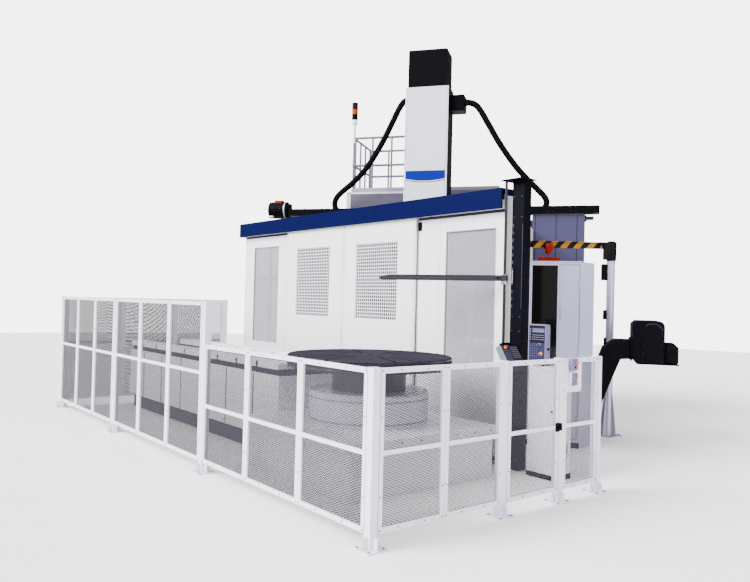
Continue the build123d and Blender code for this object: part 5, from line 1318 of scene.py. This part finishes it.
class MILL_OT_console(bpy.types.Operator):
    """The operator panel's shell, display, keys, selector and stop button, and the pedestal's doors"""
    bl_idname = "mill.console"
    bl_label = "Operator Panel"

    def execute(self, context):
        shell = [bars((PANEL_X0 - 0.004, PANEL_Y - 0.004, PANEL_Z1 - 0.006),
                      (PANEL_X1 + 0.004, PANEL_BACK + 0.004, PANEL_Z1 + 0.010), 0.003),
                 bars((PANEL_X1 - 0.006, PANEL_Y - 0.004, PANEL_Z0 + 0.002),
                      (PANEL_X1 + 0.008, PANEL_BACK + 0.004, PANEL_Z1 - 0.006), 0.003),
                 bars((PANEL_X0 - 0.006, PANEL_Y - 0.004, PANEL_Z0 + 0.002),
                      (PANEL_X0 + 0.004, PANEL_BACK + 0.004, PANEL_Z1 - 0.006), 0.003)]
        lower = bars((PANEL_X0 + 0.006, PANEL_Y - 0.002, PANEL_Z0 + 0.010), (PANEL_X1 - 0.008, PANEL_Y, 1.600), 0.001)
        display = bars((1.319, PANEL_Y - 0.003, 1.724), (1.494, PANEL_Y, 1.774), 0.001)
        edge = frame_bars(1.312, 1.501, 1.717, 1.781, 0.008, PANEL_Y - 0.005, PANEL_Y, 0.002)
        upper_keys = keys(np.linspace(1.330, 1.482, 7), np.linspace(1.640, 1.692, 3), (0.0075, 0.0055), PANEL_Y)
        side_keys = keys([1.292], np.linspace(1.640, 1.760, 5), (0.007, 0.008), PANEL_Y)
        low_keys = keys(np.linspace(1.300, 1.388, 4), np.linspace(1.440, 1.530, 4), (0.006, 0.006), PANEL_Y - 0.002)
        lit_keys = keys(np.linspace(1.300, 1.388, 4), [1.566], (0.006, 0.005), PANEL_Y - 0.002)
        knob_base, knob = mushroom((1.426, PANEL_Y - 0.002, 1.578), 0.013)
        pointer = bars((1.4235, PANEL_Y - 0.048, 1.568), (1.4285, PANEL_Y - 0.038, 1.588), 0.001)
        ring, head = mushroom((1.450, PANEL_Y - 0.002, 1.470), 0.014)
        small = [lathe([(0.006, 0), (0.010, 0.002), (0.010, 0.016), (0.006, 0.019), (0.001, 0.0195)],
                       (x, PANEL_Y - 0.002, 1.386), FRONT, 16) for x in (1.302, 1.340, 1.378, 1.416, 1.466)]
        side_knob = lathe([(0.006, 0), (0.014, 0.002), (0.014, 0.016), (0.009, 0.021), (0.001, 0.0215)],
                          (PANEL_X1 + 0.008, 1.490, 1.530), RIGHT, 20)
        screws = bolt_heads(grid_of([PANEL_X0 + 0.012, PANEL_X1 - 0.014], [PANEL_Y], [1.342, 1.800]), FRONT, 0.0042,
                            8)
        handle = tube([(PANEL_X0 + 0.03 + 0.18 * t, PANEL_Y - 0.004 - 0.026 * math.sin(math.pi * t) ** 0.5, 1.352)
                       for t in np.linspace(0.02, 0.98, 25)], 0.0045, 10)
        put("panel_shell", [("lilac_plastic", shell), ("panel_blue", [lower]), ("display_glass", [display]),
                            ("key_dark", [edge, *small, knob, screws]), ("key_grey",
                                                                         [upper_keys, side_keys, knob_base, pointer]),
                            ("key_light", [low_keys, lit_keys]), ("stop_yellow", [ring]), ("stop_red", [head]),
                            ("black_enamel", [side_knob]), ("tube_silver", [handle])], "mill")
        doors = bars([(1.290, 1.448, 0.10), (1.672, 1.470, 0.10)], [(1.650, 1.450, 1.30), (1.6725, 1.750, 1.30)],
                     0.001)
        latch = [rod((1.632, 1.449, 0.80), (1.632, 1.438, 0.80), 0.014, 0.002, 20)]
        slats = np.linspace(0.24, 0.40, 7)
        vents = bars(grid_of(1.670, 1.52, slats), grid_of(1.678, 1.70, slats + 0.010), 0.003)
        plinth = bars((1.268, 1.446, 0.0), (1.673, 1.772, 0.060), 0.002)
        put("pedestal_trim", [("white_enamel", [doors]), ("black_enamel", latch), ("seam_grey", [vents]),
                              ("charcoal_enamel", [plinth])], "mill")
        return {"FINISHED"}


DESK_Y0, DESK_Y1, DESK_MIDDLE = 1.200, 1.500, 1.35
DESK_UP = (1.035, 1.555)
DESK_LOW = (1.203, 1.290)


class MILL_OT_desk(bpy.types.Operator):
    """The small desk's end plate, its sloping key face, stop button and pull handle"""
    bl_idname = "mill.desk"
    bl_label = "Desk"

    def execute(self, context):
        outline = [DESK_UP, DESK_LOW, (1.203, 1.250), (1.123, 1.250), (0.955, 1.515)]
        end, far = [slab(outline, -0.002, 0.002, (0, y, 0), 0.001) for y in (DESK_Y0, DESK_Y1)]
        top, lip = np.array(DESK_UP), np.array(DESK_LOW)
        size = float(np.linalg.norm(lip - top))
        run = (lip - top) / size
        middle = top + (lip - top) * 0.5

        def laid(shape):
            """Lays a shape on the middle of the sloping face: X runs down the slope and Z stands square to it."""
            points, faces = shape
            slope = np.array([[run[0], 0, run[1]], [0, 1, 0], [-run[1], 0, run[0]]])
            return points @ slope + np.array([middle[0], DESK_MIDDLE, middle[1]]), faces

        def key_block(xs, ys, half_x, half_y):
            """Keys on the sloping face, one at each pair of the given places."""
            places = grid_of(xs, ys, 0.002)
            return laid(bars(places - (half_x, half_y, 0), places + (half_x, half_y, 0.005), 0.0015))

        face = laid(bars((-size / 2 + 0.012, -0.136, 0), (size / 2 - 0.012, 0.136, 0.002), 0.0008))
        grey_keys = key_block(np.linspace(-0.115, 0.020, 6), np.linspace(0.010, 0.115, 5), 0.006, 0.006)
        light_keys = key_block(np.linspace(-0.080, 0.100, 8), np.linspace(-0.118, -0.030, 4), 0.005, 0.006)
        blue_keys = key_block(np.linspace(0.050, 0.110, 3), np.linspace(0.020, 0.115, 4), 0.007, 0.007)
        ring, head = [laid(shape) for shape in mushroom((-0.122, -0.080, 0.002), 0.013, UP)]
        grip = tube([(0.990, DESK_Y0 + 0.030 + 0.240 * t, 1.548 + 0.026 * math.sin(math.pi * t) ** 0.4)
                     for t in np.linspace(0.01, 0.99, 27)], 0.008, 12)
        front_bolts = bolt_heads([(1.010, DESK_Y0 - 0.002, 1.500), (1.160, DESK_Y0 - 0.002, 1.280)], FRONT, 0.0055)
        put("desk_parts", [("key_grey", [end, far, grey_keys]), ("key_dark", [face]), ("key_light", [light_keys]),
                           ("panel_blue", [blue_keys]), ("stop_yellow", [ring]), ("stop_red", [head]),
                           ("black_enamel", [grip]), ("bolt_zinc", [front_bolts])], "mill")
        return {"FINISHED"}


CABINET_X0, CABINET_X1, CABINET_Y0, CABINET_Y1, CABINET_TOP = 1.4397, 2.318, -2.480, -2.020, 2.690


class MILL_OT_cabinet(bpy.types.Operator):
    """The cabinet's frames, gasket, latch and lock, its drip edge, foot and bolts"""
    bl_idname = "mill.cabinet"
    bl_label = "Cabinet"

    def execute(self, context):
        y = CABINET_Y0
        rim = frame_bars(1.588, 1.996, 0.110, 2.660, 0.022, y - 0.003, y + 0.001, 0.002)
        gasket = frame_bars(1.612, 1.980, 0.134, 2.636, 0.006, y - 0.0015, y + 0.006, 0.001)
        drip = bars([(CABINET_X0 - 0.006, y - 0.012, CABINET_TOP - 0.004),
                     (CABINET_X1 - 0.004, y + 0.02, CABINET_TOP - 0.004)],
                    [(CABINET_X1, CABINET_Y1, CABINET_TOP + 0.010), (CABINET_X1 + 0.006, CABINET_Y1,
                                                                     CABINET_TOP + 0.006)], 0.003)
        heads = np.concatenate([grid_of([1.465, 1.565], [y], np.linspace(0.20, 2.58, 8)),
                                grid_of(np.linspace(1.66, 2.26, 5), [y], [2.672])])
        foot = bars((CABINET_X0 - 0.002, y - 0.002, 0.0), (CABINET_X1, y + 0.001, 0.080), 0.001)
        put("cabinet_trim", [("cabinet_enamel", [rim, drip]), ("rubber_black", [gasket]), ("charcoal_enamel", [foot]),
                             ("bolt_zinc", [bolt_heads(heads)])], "mill", place=in_machine)
        x0, x1 = 2.002, 2.278
        fold = frame_bars(x0 + 0.012, x1 - 0.012, 0.150, 2.620, 0.004, y - 0.0012, y + 0.002, 0.0006)
        latch = bars([(x0 + 0.014, y - 0.010, 1.86), (x0 + 0.014, y - 0.006, 1.20)],
                     [(x0 + 0.046, y - 0.001, 2.04), (x0 + 0.046, y - 0.001, 1.32)], 0.003)
        lock = rod((x0 + 0.030, y - 0.006, 1.26), (x0 + 0.030, y - 0.016, 1.26), 0.013, 0.002, 20)
        put("cabinet_door_parts", [("cabinet_enamel", [fold]), ("tube_silver", [latch]), ("key_dark", [lock])],
            "cabinet_leaf", place=in_machine)
        return {"FINISHED"}


class MILL_OT_jib(bpy.types.Operator):
    """The crane's pivot cap and tie bolts, brackets on the post, beam stops and the trolley's wheels"""
    bl_idname = "mill.jib"
    bl_label = "Jib Crane"

    def execute(self, context):
        x, y, _ = JIB_AT
        hole = 0.120
        nuts = grid_of([x - hole, x + hole], [y - hole, y + hole], [0.016])
        collars = [lathe([(0.060, 0), (0.068, 0.002), (0.068, 0.030), (0.060, 0.032)], (x, y, z), sides=32)
                   for z in (2.60, 2.742)]
        boxes = [bars((0.058, -0.030, 2.475), (0.150, 0.030, 2.735), 0.008),
                 bars((0.058, -0.020, 1.850), (0.110, 0.020, 2.000), 0.005),
                 bars((0.058, -0.020, 1.420), (0.090, 0.020, 1.560), 0.005)]
        boxes = [on_beam(shape) for shape in boxes]
        studs = on_beam(bolt_heads(grid_of(0.150, [-0.016, 0.016], [2.52, 2.69]), RIGHT, 0.006))
        put("post_fittings", [("black_enamel", boxes), ("tube_silver", collars),
                              ("bolt_zinc", [hexes(nuts, 0.015, 0.014), studs])], "mill")
        stops = bars([(1.262, -0.033, 2.992), (0.20, -0.033, 2.992)], [(1.276, 0.033, 3.064), (0.214, 0.033, 3.064)],
                     0.002)
        end = bars((1.3002, -0.030, 2.990), (1.3032, 0.030, 3.066), 0.001)
        cap = lathe([(0.004, 3.103), (0.034, 3.103), (0.060, 3.095), (0.072, 3.082), (0.072, 3.078)], (0, 0, 0),
                    sides=40)
        cap = (cap[0], [face[:, ::-1] for face in cap[1]])
        joint = bolt_heads(grid_of([0.10, 0.16], [-0.022, 0.022], [3.080]), UP, 0.009, 10)
        put("beam_fittings", [("black_enamel", [stops, end, cap]), ("bolt_zinc", [joint])], "jib_swinger",
            place=on_beam)
        centre = 1.005
        wheels = []
        for side in (-1, 1):
            places = grid_of([centre - 0.034, centre + 0.034], [side * 0.047], [3.000])
            wheels.append(lathe([(0.006, 0), (0.020, 0.001), (0.020, 0.008), (0.012, 0.010), (0.004, 0.010)], places,
                                (0, side, 0), 24))
        bar_bolts = grid_of([centre - 0.150, centre - 0.090, centre + 0.090, centre + 0.150], 0.0, 2.820)
        plates = bars((centre - 0.150, -0.003, 2.756), (centre + 0.150, 0.003, 2.812), 0.001)
        cheek = [(centre - 0.064, 3.010), (centre + 0.064, 3.010), (centre + 0.060, 2.968), (centre + 0.022, 2.880),
                 (centre - 0.022, 2.880), (centre - 0.060, 2.968)]
        cheeks = [slab(cheek, low, low + 0.006, (0, 0, 0), 0.001) for low in (0.062, -0.068)]
        put("trolley_parts", [("dark_iron", wheels), ("bolt_zinc", [bolt_heads(bar_bolts, UP, 0.006)]),
                              ("red_enamel", [plates, *cheeks])], "trolley", place=on_beam)
        return {"FINISHED"}


HEAD_Y0, HEAD_Y1 = -1.990, -1.410
DISC_X, DISC_Z = 3.330, 1.668
TROUGH_Y0, TROUGH_Y1 = -1.950, -1.450


class MILL_OT_conveyor(bpy.types.Operator):
    """Chip conveyor covers: a painted highlight along the cover disc's upper rim, a lighter strip along the trough's
    top edge, a round cover disc, stiffening ribs, bolts and motor fins
    """
    bl_idname = "mill.conveyor"
    bl_label = "Chip Conveyor"

    def execute(self, context):
        bend = np.radians(np.linspace(90, 0, 9))
        corner = np.stack([3.405 + 0.095 * np.cos(bend), 1.767 + 0.095 * np.sin(bend)], 1)
        casing = np.concatenate([[(3.050, 1.290), (3.130, 1.215), (3.500, 1.215)], corner[::-1],
                                 [(3.110, 1.862), (3.050, 1.812)]])
        shell = slab(casing, 0.0, 0.560, (0, HEAD_Y1 - 0.010, 0), 0.008)
        turn = np.radians(np.linspace(0, 180, 17))
        dome = np.stack([DISC_X + 0.150 * np.cos(turn), DISC_Z + 0.150 * np.sin(turn)], 1)
        cover = slab([(3.180, 1.235), (3.480, 1.235), *dome], 0.0, 0.010, (0, HEAD_Y0 + 0.010, 0), 0.004)
        base = bars((3.120, HEAD_Y0, 1.215), (3.700, HEAD_Y1, 1.232), 0.002)
        motor = bars((3.500, HEAD_Y0 + 0.020, 1.232), (3.692, HEAD_Y1 - 0.020, 1.500), 0.022)
        gearbox = bars((3.520, HEAD_Y0 + 0.060, 1.490), (3.640, HEAD_Y1 - 0.220, 1.540), 0.010)
        knob = lathe([(0.004, 0), (0.030, 0.001), (0.030, 0.016), (0.022, 0.022), (0.003, 0.022)],
                     [(3.560, HEAD_Y0 + 0.022, 1.420), (3.640, HEAD_Y0 + 0.022, 1.420),
                      (3.560, HEAD_Y0 + 0.022, 1.330)], FRONT, 24)
        flange = bars((3.028, HEAD_Y0 + 0.006, 1.262), (3.052, HEAD_Y1 - 0.006, 1.592), 0.004)
        # Painted highlight: a light line along the upper right of the cover disc's rim.
        rim = np.radians(np.linspace(20, 130, 19))
        highlight_arc = [(DISC_X + 0.1505 * math.cos(angle), HEAD_Y0 - 0.0008, DISC_Z + 0.1505 * math.sin(angle))
               for angle in rim]
        light = tube(highlight_arc, 0.0022, 6)
        heads = np.concatenate([np.stack([DISC_X + 0.132 * np.cos(turn[::4]), np.full(5, HEAD_Y0),
                                          DISC_Z + 0.132 * np.sin(turn[::4])], -1),
                                grid_of([3.198, 3.462], HEAD_Y0, [1.26, 1.38, 1.50])])
        fins = bars([(3.520 + 0.014 * index, -1.78, 1.497) for index in range(12)],
                    [(3.525 + 0.014 * index, -1.62, 1.508) for index in range(12)], 0.0015)
        piece = put("conveyor_head_shell", [("charcoal_enamel", [shell, cover, base, motor, gearbox, knob, flange,
                                                                 fins]), ("hood_enamel", [light]),
                                            ("key_dark", [bolt_heads(heads)])], "mill",
                    place=in_machine)
        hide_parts("conveyor_head")
        xs = np.linspace(1.62, 2.16, 3)
        ribs = bars(grid_of(xs - 0.010, TROUGH_Y0 - 0.012, 0.012), grid_of(xs + 0.010, TROUGH_Y0 + 0.001, 0.268),
                    0.003)
        back = bars(grid_of(xs - 0.010, TROUGH_Y1 - 0.001, 0.012), grid_of(xs + 0.010, TROUGH_Y1 + 0.012, 0.268),
                    0.003)
        edge = bars([(1.46, TROUGH_Y0 - 0.004, 0.268)], [(2.25, TROUGH_Y0 + 0.001, 0.280)], 0.002)
        heads = grid_of(np.linspace(1.50, 2.22, 7), [TROUGH_Y0], [0.05, 0.24])
        put("conveyor_ribs", [("charcoal_enamel", [ribs, back]), ("hood_enamel", [edge]),
                              ("key_dark", [bolt_heads(heads, FRONT, 0.006)])], "mill",
            place=in_machine)
        return {"FINISHED"}


SWITCH_X, SWITCH_Y0, SWITCH_Y1, SWITCH_Z0, SWITCH_Z1 = 2.246, 0.880, 1.000, 1.205, 1.500


class MILL_OT_switch(bpy.types.Operator):
    """Two switch boxes on the fence: mounting plate, lids, stop button, knobs and cable glands"""
    bl_idname = "mill.switch"
    bl_label = "Fence Switches"

    def execute(self, context):
        x, out = SWITCH_X, 2.292
        plate = bars((FENCE_RIGHT, 0.800, 1.140), (x, 1.120, 1.480), 0.001)
        upper = bars((x, SWITCH_Y0 + 0.004, 1.372), (out, SWITCH_Y1 - 0.004, SWITCH_Z1 - 0.002), 0.006)
        lower = bars((x, SWITCH_Y0 + 0.002, SWITCH_Z0 + 0.004), (out - 0.004, SWITCH_Y1 - 0.002, 1.352), 0.006)
        lid = bars([(out - 0.006, SWITCH_Y0 + 0.010, 1.380), (out - 0.010, SWITCH_Y0 + 0.008, SWITCH_Z0 + 0.010)],
                   [(out + 0.001, SWITCH_Y1 - 0.010, SWITCH_Z1 - 0.008), (out - 0.002, SWITCH_Y1 - 0.008, 1.346)],
                   0.002)
        ring, head = mushroom((out + 0.001, 0.940, 1.452), 0.017, RIGHT)
        knob = lathe([(0.006, 0), (0.009, 0.002), (0.009, 0.007), (0.004, 0.008), (0.001, 0.008)],
                     (out, 0.940, 1.405), RIGHT, 20)
        turn_base = lathe([(0.004, 0), (0.026, 0), (0.026, 0.003), (0.020, 0.005), (0.004, 0.005)],
                          (out - 0.003, 0.966, 1.310), RIGHT, 28)
        turn_knob = lathe([(0.004, 0.004), (0.015, 0.004), (0.014, 0.010), (0.004, 0.0105)],
                          (out - 0.003, 0.966, 1.310), RIGHT, 24)
        dots = lathe([(0.003, 0), (0.007, 0.0005), (0.007, 0.003), (0.003, 0.004)],
                     [(out - 0.002, 0.945, 1.262), (out - 0.002, 0.920, 1.230)], RIGHT, 16)
        gland = rod((x + 0.022, 0.940, SWITCH_Z0 + 0.006), (x + 0.022, 0.940, SWITCH_Z0), 0.012, 0.001, 16)
        bolts = bolt_heads([(x, 0.822, 1.160), (x, 0.822, 1.460), (x, 1.098, 1.160), (x, 1.098, 1.460)], RIGHT, 0.006,
                           8)
        piece = put("fence_switch", [("fence_enamel", [plate, lower]), ("lilac_plastic", [upper]),
                                     ("key_grey", [lid, ring, turn_base]), ("stop_red", [head, turn_knob]),
                                     ("black_enamel", [knob, gland]), ("key_dark", [dots, bolts])], "mill")
        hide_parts("switch_box")
        return {"FINISHED"}


OPERATORS = [
    MILL_OT_finishes, MILL_OT_stage, MILL_OT_hoses, MILL_OT_mesh, MILL_OT_fence_hardware, MILL_OT_doors,
    MILL_OT_wall, MILL_OT_table, MILL_OT_bed, MILL_OT_ram, MILL_OT_tray, MILL_OT_platform, MILL_OT_columns,
    MILL_OT_pillar, MILL_OT_gauge, MILL_OT_console, MILL_OT_desk, MILL_OT_cabinet, MILL_OT_jib,
    MILL_OT_conveyor, MILL_OT_switch,
]


class MILL_PT_sidebar(bpy.types.Panel):
    """Lists the sizes, the colours and one button for each group of pieces"""
    bl_label = "Boring Mill"
    bl_idname = "MILL_PT_sidebar"
    bl_space_type = "VIEW_3D"
    bl_region_type = "UI"
    bl_category = "Boring Mill"

    def draw(self, context):
        for settings in (context.scene.mill_sizes, context.scene.mill_colours):
            for name in settings.__annotations__:
                self.layout.prop(settings, name)
        for operator in OPERATORS:
            self.layout.operator(operator.bl_idname)


CLASSES = [MillSizes, MillColours, *OPERATORS, MILL_PT_sidebar]


def register():
    for item in CLASSES:
        bpy.utils.register_class(item)
    bpy.types.Scene.mill_sizes = PointerProperty(type=MillSizes)
    bpy.types.Scene.mill_colours = PointerProperty(type=MillColours)


def unregister():
    del bpy.types.Scene.mill_colours
    del bpy.types.Scene.mill_sizes
    for item in reversed(CLASSES):
        bpy.utils.unregister_class(item)


def main():
    """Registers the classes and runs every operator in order."""
    register()
    for operator in OPERATORS:
        group, name = operator.bl_idname.split(".")
        getattr(getattr(bpy.ops, group), name)()
    bpy.context.view_layer.update()


if __name__ == "__main__":
    main()
